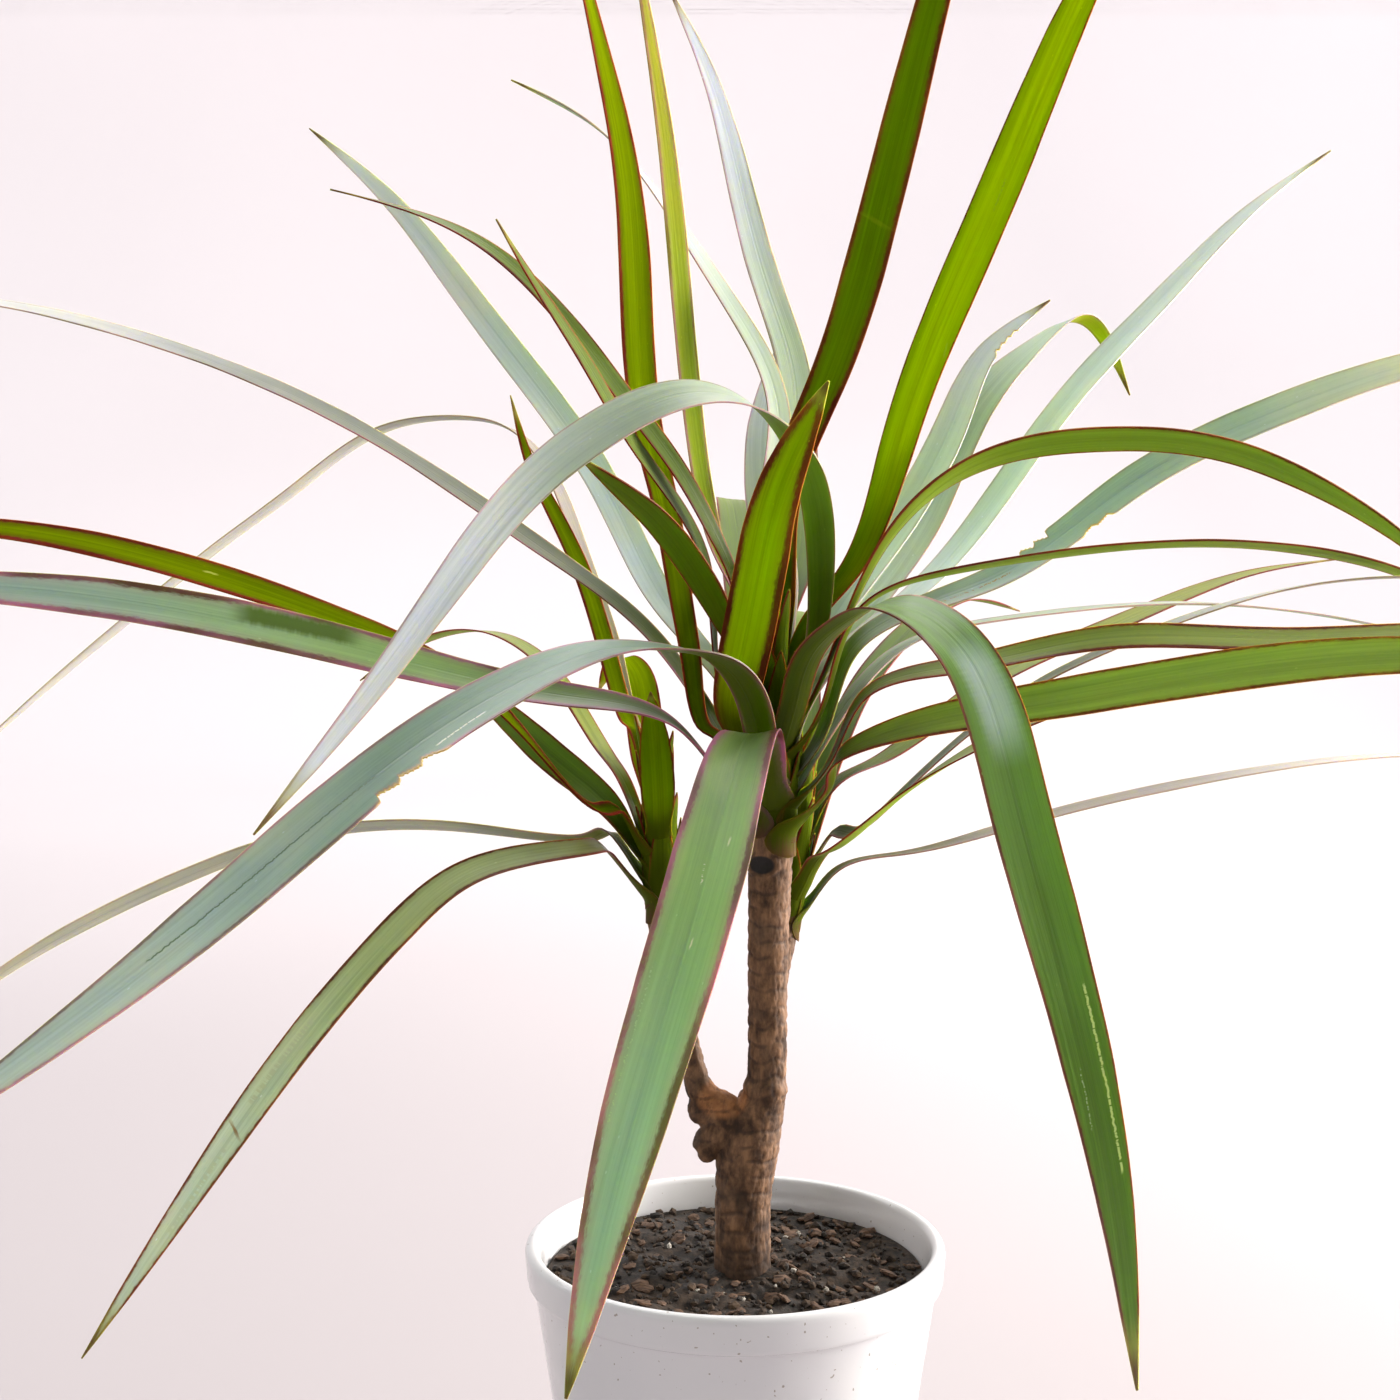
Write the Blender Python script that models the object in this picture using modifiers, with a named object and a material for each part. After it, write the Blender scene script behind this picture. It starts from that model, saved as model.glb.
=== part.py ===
"""Potted dragon tree: a white pot of soil, a forked woody trunk and three crowns of strap leaves.

Lengths in the lists below are millimetres, with the pot's foot centred on the origin, +X to the
right and -Y towards the viewer. Everything that is built is in metres.
"""
import math

import bmesh
import bpy
import numpy as np

MM = 0.001

# The pot, a plain turned cup with a thicker rim band.
POT_HEIGHT = 110.0
POT_FOOT_RADIUS = 43.0
POT_RIM_RADIUS = 60.0
POT_WALL = 4.0
POT_FLOOR = 6.0
RIM_BAND_HEIGHT = 10.0
RIM_BAND_STEP = 1.4
RIM_ROUND = 1.2
TURNED_STEPS = 48

# The soil, which fills the pot to just below its rim.
SOIL_TOP = 101.0
SOIL_UNEVENNESS = 1.1
SOIL_GAP = 0.4

# The trunk stands in a plain blind hole in the soil.
TRUNK_FOOT = 78.0
TRUNK_HOLE_RADIUS = 9.2
TRUNK_HOLE_GAP = 0.4
SCAR_PITCH = 6.6
SCAR_HEIGHT = 0.045
STEM_SIDES_RESOLUTION = 4

# Each stem is a list of points and radii: x, y, z, radius.
MAIN_STEM = [
    (2.0, 0.0, TRUNK_FOOT, 8.2), (2.2, 0.0, 104.0, 8.2), (2.5, 0.0, 124.0, 8.2),
    (4.6, 0.0, 140.0, 8.6), (8.2, 0.0, 151.0, 6.3), (9.2, 0.0, 162.0, 5.6), (9.2, 0.0, 180.0, 5.7),
    (9.5, 0.0, 204.0, 6.0),
]
LEFT_STEM = [
    (1.0, 1.0, 132.0, 6.6), (-2.2, 1.2, 144.6, 6.8), (-8.4, 2.0, 150.6, 4.7),
    (-11.8, 3.0, 158.4, 3.7), (-14.0, 5.0, 167.0, 3.6), (-17.8, 9.5, 182.0, 3.9),
    (-20.3, 13.0, 195.0, 4.3),
]
REAR_STEM = [
    (4.0, 4.0, 138.0, 6.4), (7.6, 11.0, 149.0, 5.4), (9.4, 23.0, 164.0, 4.8),
    (12.0, 35.0, 178.0, 4.7),
]
PRUNED_KNOB = (-8.4, 0.0, 138.4, 4.0)

# Each crown grows on the straight top of a stem: its foot, its lean (mm across for each mm up),
# the stem's radius at the foot and at the top, and the height between them.
CROWNS = {
    "main": {"foot": (10.0, 0.0, 228.0), "lean": (0.0, 0.0), "radii": (6.8, 3.0), "height": 56.0},
    "left": {"foot": (-21.0, 14.0, 203.0), "lean": (-0.04, 0.0), "radii": (4.6, 2.6), "height": 44.0},
    "rear": {"foot": (15.5, 42.0, 194.0), "lean": (0.10, 0.05), "radii": (4.9, 2.6), "height": 52.0},
}

# The leaves: blade thickness, the gap between a leaf's foot and its stem, how far a leaf runs
# straight before it bends, and how far a foot leans from upright, low and high on the crown.
BLADE = 0.72
SEAT_GAP = 0.35
STRAIGHT_FOOT = 16.0
LEAN_LOW = 40.0
LEAN_HIGH = 14.0
CHANNEL_FOOT = 16.0
CHANNEL_REST = 6.0
CELLS_ACROSS = 2
ROW_LENGTH = 34.0
ROW_BEND = 17.0
ROW_TWIST = 30.0

# Blade width from foot (0) to tip (1), as a share of the leaf's full width.
WIDTH_SHARES = [
    (0.0, 0.62), (0.05, 0.60), (0.12, 0.70), (0.25, 0.89), (0.42, 1.0), (0.58, 0.97),
    (0.72, 0.82), (0.84, 0.58), (0.93, 0.32), (0.98, 0.12), (1.0, 0.08),
]

# The same for leaves whose foot is nearly as broad as the blade.
BROAD_SHARES = [
    (0.0, 0.84), (0.12, 0.90), (0.25, 0.97), (0.42, 1.0), (0.58, 0.97),
    (0.72, 0.82), (0.84, 0.58), (0.93, 0.32), (0.98, 0.12), (1.0, 0.08),
]
BROAD_LEAVES = ("leaf_main_05", "leaf_main_08")

# Each leaf: name, crown, height of its foot above the crown's foot, compass heading of its foot
# (0 is right, 90 is away from the viewer), full width, twist in degrees at its middle and tip,
# and the points that its midrib passes through.
LEAVES = [
    # leaves of the main crown, at the top of the upright stem
    ("leaf_main_01", "main", 8, 262, 19.5, 0, -6,
     [(3, -42, 259), (-6, -84, 238), (-16, -112, 208), (-29, -124, 165), (-40, -126, 118)]),
    ("leaf_main_02", "main", 23, 296, 16, 24, 20,
     [(17, -15, 269), (20, -23, 279), (28, -34, 288), (38, -50, 293), (55, -75, 281),
      (65, -88, 249), (77, -94, 204), (88, -96, 156), (95, -94, 106)]),
    ("leaf_main_03", "main", 12, 258, 16.5, -50, -48,
     [(4, -23, 265), (-4, -35, 277), (-15, -44, 281), (-32, -54, 282), (-47, -67, 278),
      (-80, -94, 259), (-120, -124, 225), (-158, -146, 196), (-183, -158, 178)]),
    ("leaf_main_04", "main", 33, 330, 10.5, -145, -178,
     [(23, -13, 304), (18, -26, 329), (5, -42, 343), (-12, -58, 346), (-34, -76, 336),
      (-52, -92, 320), (-68, -108, 298), (-83, -120, 276), (-105, -138, 247)]),
    ("leaf_main_05", "main", 18, 224, 17, 0, 0,
     [(-1, -14, 267), (3, -23, 288), (7, -32, 310), (11, -42, 325), (22, -58, 349)]),
    ("leaf_main_06", "main", 49, 66, 12.5, 0, 0,
     [(14, 4, 321), (27, 8, 357), (41, 14, 403), (57, 22, 465), (76, 34, 533)]),
    ("leaf_main_07", "main", 41, 25, 13, 45, 30,
     [(33, 8, 301), (49, 16, 344), (74, 26, 405), (101, 38, 467), (135, 52, 528)]),
    ("leaf_main_08", "main", 13, 175.5, 12.5, -34, -2,
     [(-9, 2, 256), (-13, 4, 273), (-16, 7, 293), (-20, 10, 318), (-26, 12, 346), (-30, 18, 404),
      (-39, 24, 452), (-52, 34, 505)]),
    ("leaf_main_09", "main", 45, 130, 8, 0, 0,
     [(-5, 30, 308), (-12, 38, 345), (-18, 50, 409), (-24, 60, 455), (-32, 72, 503)]),
    ("leaf_main_10", "main", 53, 130, 9, 0, 40,
     [(13, 30, 345), (0, 48, 379), (-19, 66, 410), (-42, 84, 439), (-71, 100, 458)]),
    ("leaf_main_11", "main", 37.5, 115, 12, 0, 0,
     [(20, 70, 353), (13, 92, 387), (5, 112, 419), (-5, 134, 462), (-21, 160, 503)]),
    ("leaf_main_12", "main", 34, 80, 14, 0, 0,
     [(13, 60, 304), (11, 100, 343), (21, 140, 384)]),
    ("leaf_main_13", "main", 19, 120, 11, -20, -30,
     [(-20, 50, 289), (-42, 86, 329), (-81, 120, 382), (-117, 150, 427), (-151, 176, 458)]),
    ("leaf_main_14", "main", 41, 176, 9, -32, -4,
     [(0, 0, 293), (-6, 0, 311), (-16, 1, 329), (-30, 3, 348), (-42, 4, 364), (-57, 5, 381),
      (-74, 6, 394), (-96, 9, 403), (-114, 12, 408)]),
    ("leaf_main_15", "main", 24, 178, 10, -15, -15,
     [(-9, 2, 304), (-27, -4, 334), (-40, -8, 356), (-56, -10, 381), (-65, -12, 396)]),
    ("leaf_main_16", "main", 10, 138, 11, 4, -6,
     [(-23, 20, 281), (-51, 34, 303), (-112, 60, 342), (-176, 84, 370), (-240, 104, 387),
      (-296, 122, 390), (-349, 140, 379)]),
    ("leaf_main_17", "main", 6, 195, 13, -45, -60,
     [(-19, -10, 260), (-48, -24, 268), (-93, -44, 280), (-139, -62, 292), (-180, -74, 298),
      (-207, -84, 298), (-232, -92, 293)]),
    ("leaf_main_18", "main", 37, 211, 10.5, 25, 25,
     [(-4, -11, 288), (-10, -19, 299), (-21, -24, 314), (-31, -34, 323), (-41, -43, 331)]),
    ("leaf_main_19", "main", 14, 20, 11, 48, 48,
     [(33, 10, 278), (74, 20, 298), (117, 34, 326), (165, 48, 349), (211, 60, 364), (259, 72, 369),
      (303, 84, 361)]),
    ("leaf_main_20", "main", 26.5, 350, 10, -20, -4,
     [(40, -8, 307), (68, 0, 331), (109, 10, 338), (146, 20, 334), (197, 32, 310), (224, 40, 289)]),
    ("leaf_main_21", "main", 20.5, 345, 10, 0, 0,
     [(34, -10, 290), (56, -8, 300), (105, 2, 307), (149, 10, 308), (193, 20, 300),
      (231, 28, 283)]),
    ("leaf_main_22", "main", 23.5, 42, 10, 20, 20,
     [(61, 56, 298), (107, 96, 352), (146, 126, 391), (180, 150, 423), (216, 170, 449)]),
    ("leaf_main_23", "main", 29.5, 44, 12, 20, 30,
     [(46, 36, 310), (67, 60, 344), (80, 78, 368), (103, 94, 387)]),
    ("leaf_main_24", "main", 16, 66, 14, 30, -78,
     [(61, 90, 316), (83, 124, 354), (110, 152, 380), (129, 168, 389), (148, 182, 363)]),
    ("leaf_main_25", "main", 7, 358, 11, 25, 10,
     [(36, -2, 266), (63, -8, 275), (102, -16, 283), (146, -24, 283), (183, -32, 285),
      (215, -38, 281), (244, -44, 268)]),
    ("leaf_main_26", "main", 1, 335, 11.5, 50, 50,
     [(27, -16, 249), (43, -28, 259), (78, -46, 268), (115, -62, 276), (158, -80, 282),
      (192, -92, 279), (219, -100, 266)]),
    ("leaf_main_27", "main", 10, 30, 10, 10, 10,
     [(50, 40, 277), (83, 60, 285), (152, 90, 289), (228, 120, 279), (272, 136, 268)]),
    ("leaf_main_28", "main", 26, 94, 12, 0, 0,
     [(21, 70, 304), (25, 130, 330), (30, 200, 351), (35, 260, 343)]),
    ("leaf_main_29", "main", 12, 100, 13, 0, 0,
     [(4, 60, 285), (3, 120, 310), (1, 190, 325), (-1, 260, 314)]),
    # leaves of the left crown, on the branch beside it
    ("leaf_left_01", "left", 16, 200, 12, -40, -40,
     [(-38, 4, 233), (-64, -8, 261), (-95, -20, 283), (-129, -32, 297), (-164, -44, 308),
      (-201, -56, 313), (-232, -66, 308)]),
    ("leaf_left_02", "left", 4, 195, 9.5, -5, -40,
     [(-42, -6, 224), (-70, -24, 221), (-89, -38, 208), (-112, -56, 182), (-136, -76, 148),
      (-159, -92, 113)]),
    ("leaf_left_03", "left", 8, 165, 9, 0, 0,
     [(-43, 32, 221), (-77, 42, 222), (-122, 56, 220), (-169, 70, 205), (-241, 90, 167),
      (-283, 102, 135)]),
    ("leaf_left_04", "left", 13, 160, 10, -70, -60,
     [(-47, 30, 240), (-58, 38, 248), (-71, 48, 258), (-86, 57, 268)]),
    ("leaf_left_05", "left", 25, 104, 8, 56, 40,
     [(-32, 56, 256), (-37, 70, 275), (-47, 84, 303), (-56, 94, 326), (-67, 102, 342),
      (-77, 106, 348), (-93, 108, 350), (-117, 112, 346), (-147, 116, 326), (-171, 118, 309),
      (-198, 120, 288), (-223, 121, 268), (-269, 124, 228), (-291, 126, 206)]),
    ("leaf_left_06", "left", 34, 128, 7, 0, 0,
     [(-32, 44, 255), (-39, 58, 276), (-49, 72, 304), (-59, 82, 323), (-65, 90, 335),
      (-72, 100, 357)]),
    ("leaf_left_07", "left", 20, 270, 10, 0, 0,
     [(-24, 4, 267)]),
    ("leaf_left_08", "left", 7, 88, 12, 0, 0,
     [(-26, 60, 241), (-30, 110, 260), (-39, 160, 267), (-49, 210, 252)]),
    ("leaf_left_09", "left", 18.5, 135, 8, 0, 0,
     [(-41, 58, 246), (-62, 90, 271), (-96, 130, 278), (-136, 180, 258)]),
    # leaves of the rear crown, on the stem behind it
    ("leaf_rear_01", "rear", 14, 355, 10, 0, -16,
     [(35, 34, 222), (53, 32, 237), (87, 26, 266), (112, 22, 279), (149, 18, 293), (187, 12, 299),
      (217, 8, 298)]),
    ("leaf_rear_02", "rear", 2, 15, 8, 15, 0,
     [(52, 58, 212), (72, 66, 215), (110, 82, 223), (156, 100, 230), (231, 124, 236),
      (282, 140, 231)]),
    ("leaf_rear_03", "rear", 8, 305, 12, 30, 30,
     [(30, 18, 220), (47, 8, 236), (71, -6, 254), (98, -22, 267), (134, -38, 271)]),
    ("leaf_rear_04", "rear", 24, 30, 10, 20, 10,
     [(47, 70, 240), (82, 96, 261), (127, 124, 279), (182, 154, 297), (225, 176, 303)]),
    ("leaf_rear_05", "rear", 9, 62, 11, 0, 0,
     [(38, 96, 251), (60, 140, 275), (89, 200, 287), (121, 260, 281)]),
    ("leaf_rear_06", "rear", 18, 95, 12, 0, 0,
     [(23, 90, 245), (25, 140, 271), (26, 200, 283), (27, 260, 273)]),
    ("leaf_rear_07", "rear", 36, 140, 11, 0, 0,
     [(12, 70, 247), (3, 110, 276), (-10, 160, 292), (-29, 220, 287)]),
]

# Colours as linear red, green and blue, with roughness.
LOOKS = {
    "pot_glaze": ((0.86, 0.86, 0.87), 0.15),
    "soil": ((0.045, 0.028, 0.018), 0.95),
    "bark": ((0.21, 0.13, 0.085), 0.85),
    "leaf": ((0.11, 0.26, 0.07), 0.35),
}


def clear_scene():
    for item in list(bpy.data.objects):
        bpy.data.objects.remove(item, do_unlink=True)


def new_collection(name):
    group = bpy.data.collections.new(name)
    bpy.context.scene.collection.children.link(group)
    return group


def make_materials():
    materials = {}
    for name, (colour, roughness) in LOOKS.items():
        material = bpy.data.materials.new(name)
        material.use_nodes = True
        shader = material.node_tree.nodes["Principled BSDF"]
        shader.inputs["Base Color"].default_value = (*colour, 1.0)
        shader.inputs["Roughness"].default_value = roughness
        shader.inputs["Metallic"].default_value = 0.0
        materials[name] = material
    return materials


def add_object(name, data, material, group):
    item = bpy.data.objects.new(name, data)
    if material is not None:
        data.materials.append(material)
    group.objects.link(item)
    return item


def apply_modifiers(item):
    graph = bpy.context.evaluated_depsgraph_get()
    solid = bpy.data.meshes.new_from_object(item.evaluated_get(graph))
    item.modifiers.clear()
    item.data = solid


# Turned pieces.

def turned(name, profile, material, group):
    """Screw a profile of (radius, height) points, which starts and ends on the axis, round Z."""
    mesh = bpy.data.meshes.new(name)
    points = [(radius * MM, 0.0, height * MM) for radius, height in profile]
    mesh.from_pydata(points, [(i, i + 1) for i in range(len(points) - 1)], [])
    item = add_object(name, mesh, material, group)
    screw = item.modifiers.new("turn", "SCREW")
    screw.axis = "Z"
    screw.steps = TURNED_STEPS
    screw.render_steps = TURNED_STEPS
    screw.use_merge_vertices = True
    screw.merge_threshold = 0.00001
    return item


def inner_radius(height):
    """The pot's inner wall: a straight taper from the floor to the rim."""
    low = POT_FOOT_RADIUS - POT_WALL
    high = POT_RIM_RADIUS - POT_WALL
    return low + (high - low) * (height - POT_FLOOR) / (POT_HEIGHT - POT_FLOOR)


def build_pot(material, group):
    band = POT_HEIGHT - RIM_BAND_HEIGHT
    inner_rim = inner_radius(POT_HEIGHT)
    profile = [
        (0.0, POT_FLOOR),
        (inner_radius(POT_FLOOR) - 3.0, POT_FLOOR),
        (inner_radius(POT_FLOOR + 3.0), POT_FLOOR + 3.0),
        (inner_radius(POT_HEIGHT - RIM_ROUND), POT_HEIGHT - RIM_ROUND),
        (inner_rim + 0.3 * RIM_ROUND, POT_HEIGHT - 0.3 * RIM_ROUND),
        (inner_rim + RIM_ROUND, POT_HEIGHT),
        (POT_RIM_RADIUS - RIM_ROUND, POT_HEIGHT),
        (POT_RIM_RADIUS - 0.3 * RIM_ROUND, POT_HEIGHT - 0.3 * RIM_ROUND),
        (POT_RIM_RADIUS, POT_HEIGHT - RIM_ROUND),
        (POT_RIM_RADIUS - 0.5, band + 0.6),
        (POT_RIM_RADIUS - 1.0, band),
        (POT_RIM_RADIUS - 1.0 - RIM_BAND_STEP, band - 0.8),
        (POT_FOOT_RADIUS + 0.4, 2.4),
        (POT_FOOT_RADIUS - 0.6, 0.6),
        (POT_FOOT_RADIUS - 2.2, 0.0),
        (0.0, 0.0),
    ]
    pot = turned("pot", profile, material, group)
    apply_modifiers(pot)
    shade_smooth(pot, 35.0)
    return pot


def soil_height(x, y):
    """Uneven soil: three crossed waves, which die out at the pot's wall."""
    waves = math.sin(0.21 * x + 0.9) * math.cos(0.17 * y - 0.4)
    waves += 0.6 * math.sin(0.37 * x - 0.29 * y + 2.0)
    waves += 0.4 * math.cos(0.11 * x + 0.53 * y)
    edge = min(1.0, max(0.0, (52.0 - math.hypot(x, y)) / 10.0))
    return SOIL_TOP + SOIL_UNEVENNESS * waves * edge


def build_soil(material, group, cutters):
    floor = POT_FLOOR + SOIL_GAP
    rings = [0.0, 13.0, 20.0, 28.0, 36.0, 44.0, 50.0]
    profile = [(radius, SOIL_TOP) for radius in rings]
    profile += [
        (inner_radius(SOIL_TOP) - SOIL_GAP, SOIL_TOP - 0.6),
        (inner_radius(floor + 3.0) - SOIL_GAP, floor + 3.0),
        (inner_radius(floor) - 3.2 - SOIL_GAP, floor),
        (0.0, floor),
    ]
    soil = turned("soil", profile, material, group)
    apply_modifiers(soil)
    for vertex in soil.data.vertices:
        if vertex.co.z > (SOIL_TOP - 0.3) * MM:
            vertex.co.z = soil_height(vertex.co.x / MM, vertex.co.y / MM) * MM

    depth = SOIL_TOP + 12.0 - (TRUNK_FOOT - TRUNK_HOLE_GAP)
    bpy.ops.mesh.primitive_cylinder_add(
        vertices=20, radius=TRUNK_HOLE_RADIUS * MM, depth=depth * MM,
        location=(MAIN_STEM[0][0] * MM, 0.0, (TRUNK_FOOT - TRUNK_HOLE_GAP + depth / 2) * MM))
    hole = bpy.context.object
    hole.name = "trunk_hole_cutter"
    move_to(hole, cutters)
    cut = soil.modifiers.new("trunk hole", "BOOLEAN")
    cut.operation = "DIFFERENCE"
    cut.object = hole
    cut.solver = "EXACT"
    apply_modifiers(soil)
    return soil


def move_to(item, group):
    for owner in list(item.users_collection):
        owner.objects.unlink(item)
    group.objects.link(item)
    item.hide_render = True
    item.display_type = "WIRE"


def shade_smooth(item, degrees):
    """Smooth shading on round walls, with edges sharper than this angle kept crisp."""
    mesh = item.data
    mesh.polygons.foreach_set("use_smooth", [True] * len(mesh.polygons))
    mesh.set_sharp_from_angle(angle=math.radians(degrees))


# Smooth routes, for stems and leaves alike.

def smooth_route(points, start, samples=40):
    """A smooth curve through the points, which leaves the first one in the start direction."""
    points = np.array(points, float)
    count = len(points)
    chords = np.linalg.norm(np.diff(points[:, :3], axis=0), axis=1)
    spans = chords ** 0.75
    system = np.zeros((count, count))
    target = np.zeros((count, points.shape[1]))
    system[0, 0] = 1.0
    target[0] = np.array(start) * chords[0] / spans[0]
    for i in range(1, count - 1):
        before, after = spans[i - 1], spans[i]
        system[i, i - 1:i + 2] = 1.0 / before, 2.0 / before + 2.0 / after, 1.0 / after
        target[i] = 3.0 * (points[i] - points[i - 1]) / before ** 2
        target[i] += 3.0 * (points[i + 1] - points[i]) / after ** 2
    system[-1, -2:] = 1.0 / spans[-1], 2.0 / spans[-1]
    target[-1] = 3.0 * (points[-1] - points[-2]) / spans[-1] ** 2
    slopes = np.linalg.solve(system, target)

    curve = []
    for i in range(count - 1):
        last = i == count - 2
        for t in np.linspace(0.0, 1.0, samples, endpoint=last):
            curve.append(
                (2 * t ** 3 - 3 * t ** 2 + 1) * points[i] + (3 * t ** 2 - 2 * t ** 3) * points[i + 1]
                + spans[i] * ((t ** 3 - 2 * t ** 2 + t) * slopes[i] + (t ** 3 - t ** 2) * slopes[i + 1]))
    return np.array(curve)


def distances_along(curve):
    steps = np.linalg.norm(np.diff(curve[:, :3], axis=0), axis=1)
    return np.concatenate([[0.0], np.cumsum(steps)])


def at_distances(curve, travelled, wanted):
    columns = [np.interp(wanted, travelled, curve[:, k]) for k in range(curve.shape[1])]
    return np.stack(columns, axis=1)


# The trunk: three stems and the knob of a pruned shoot, grown together.

def crown_axis(crown, height):
    foot = np.array(CROWNS[crown]["foot"])
    lean = CROWNS[crown]["lean"]
    return foot + np.array([lean[0] * height, lean[1] * height, height])


def crown_radius(crown, height):
    low, high = CROWNS[crown]["radii"]
    return low + (high - low) * min(max(height / CROWNS[crown]["height"], 0.0), 1.0)


def build_stem(name, points, crown, scars_from, group):
    """A tube along the stem's points and up through its crown, ringed with leaf scars."""
    height = CROWNS[crown]["height"]
    route = list(points)
    route.append((*crown_axis(crown, 0.0), CROWNS[crown]["radii"][0]))
    curve = smooth_route(route, (0.0, 0.0, 1.0, 0.0))
    travelled = distances_along(curve)
    count = round(travelled[-1] / (SCAR_PITCH / 2))
    rows = at_distances(curve, travelled, np.linspace(0.0, travelled[-1], count + 1))
    for i, row in enumerate(rows):
        if i % 2 and row[2] > scars_from:
            row[3] *= 1.0 + SCAR_HEIGHT
    tops = [(*crown_axis(crown, height * share), crown_radius(crown, height * share))
            for share in (0.25, 0.5, 0.75, 1.0)]
    rows = np.vstack([rows, tops])

    path = bpy.data.curves.new(name, "CURVE")
    path.dimensions = "3D"
    path.bevel_depth = 1.0
    path.bevel_resolution = STEM_SIDES_RESOLUTION
    path.use_fill_caps = True
    spline = path.splines.new("POLY")
    spline.points.add(len(rows) - 1)
    for point, (x, y, z, radius) in zip(spline.points, rows):
        point.co = (x * MM, y * MM, z * MM, 1.0)
        point.radius = radius * MM
    item = add_object(name, path, None, group)
    apply_modifiers_to_curve(item, group)
    return bpy.data.objects[name]


def apply_modifiers_to_curve(item, group):
    """Swap a curve object for a mesh object of the same name."""
    graph = bpy.context.evaluated_depsgraph_get()
    solid = bpy.data.meshes.new_from_object(item.evaluated_get(graph))
    name = item.name
    bpy.data.objects.remove(item, do_unlink=True)
    add_object(name, solid, None, group)


def build_trunk(material, group, cutters):
    trunk = build_stem("trunk", MAIN_STEM, "main", SOIL_TOP + 6.0, group)
    joined = new_collection("trunk_unions")
    build_stem("left_stem", LEFT_STEM, "left", 148.0, joined)
    build_stem("rear_stem", REAR_STEM, "rear", 156.0, joined)
    x, y, z, radius = PRUNED_KNOB
    bpy.ops.mesh.primitive_ico_sphere_add(
        subdivisions=2, radius=radius * MM, location=(x * MM, y * MM, z * MM))
    knob = bpy.context.object
    knob.name = "pruned_knob"
    move_to(knob, joined)
    union = trunk.modifiers.new("grown together", "BOOLEAN")
    union.operation = "UNION"
    union.operand_type = "COLLECTION"
    union.collection = joined
    union.solver = "EXACT"
    apply_modifiers(trunk)
    for item in list(joined.objects):
        bpy.data.objects.remove(item, do_unlink=True)
    bpy.data.collections.remove(joined)
    trunk.data.materials.clear()
    trunk.data.materials.append(material)
    shade_smooth(trunk, 50.0)
    return trunk


# Leaves.

def foot_of_leaf(crown, level, heading):
    """Where a leaf leaves its stem, and in which direction."""
    angle = math.radians(heading)
    out = np.array([math.cos(angle), math.sin(angle), 0.0])
    share = min(level / CROWNS[crown]["height"], 1.0)
    lean = math.radians(LEAN_LOW + (LEAN_HIGH - LEAN_LOW) * share)
    direction = out * math.sin(lean) + np.array([0.0, 0.0, math.cos(lean)])
    channel = math.cos(math.radians(CHANNEL_FOOT + CHANNEL_REST))
    seat = (crown_radius(crown, level) + SEAT_GAP + BLADE / 2) / channel
    return crown_axis(crown, level) + out * seat, direction, out


def turn_towards(side, tangent):
    """Carry the across direction along the midrib without any twist of its own."""
    side = side - tangent * np.dot(side, tangent)
    return side / np.linalg.norm(side)


def twist_at(share, middle, tip):
    """A smooth twist through the given angles at the middle and the tip."""
    return (4 * middle - tip) * share + (2 * tip - 4 * middle) * share ** 2


def leaf_rows(crown, level, heading, middle_twist, tip_twist, route):
    """The midrib's points, their tangents, the across directions and each row's share of length."""
    foot, direction, out = foot_of_leaf(crown, level, heading)
    points = [foot, foot + direction * STRAIGHT_FOOT] + [np.array(p, float) for p in route]
    curve = smooth_route(points, direction)
    travelled = distances_along(curve)
    length = travelled[-1]
    tangents = np.gradient(curve, travelled, axis=0)
    tangents /= np.linalg.norm(tangents, axis=1)[:, None]

    cosines = np.clip(np.sum(tangents[1:] * tangents[:-1], axis=1), -1.0, 1.0)
    bends = np.degrees(np.arccos(cosines))
    twists = twist_at(travelled / length, middle_twist, tip_twist)
    work = np.diff(travelled) / ROW_LENGTH + bends / ROW_BEND + np.abs(np.diff(twists)) / ROW_TWIST
    work = np.concatenate([[0.0], np.cumsum(work)])
    count = math.ceil(work[-1])
    wanted = np.interp(np.linspace(0.0, work[-1], count + 1), work, travelled)

    rows = at_distances(curve, travelled, wanted)
    along = at_distances(tangents, travelled, wanted)
    along /= np.linalg.norm(along, axis=1)[:, None]
    along[0] = direction
    side = np.array([-out[1], out[0], 0.0])
    sides = []
    for tangent in along:
        side = turn_towards(side, tangent)
        sides.append(side)
    return rows, along, np.array(sides), wanted / length


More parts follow.
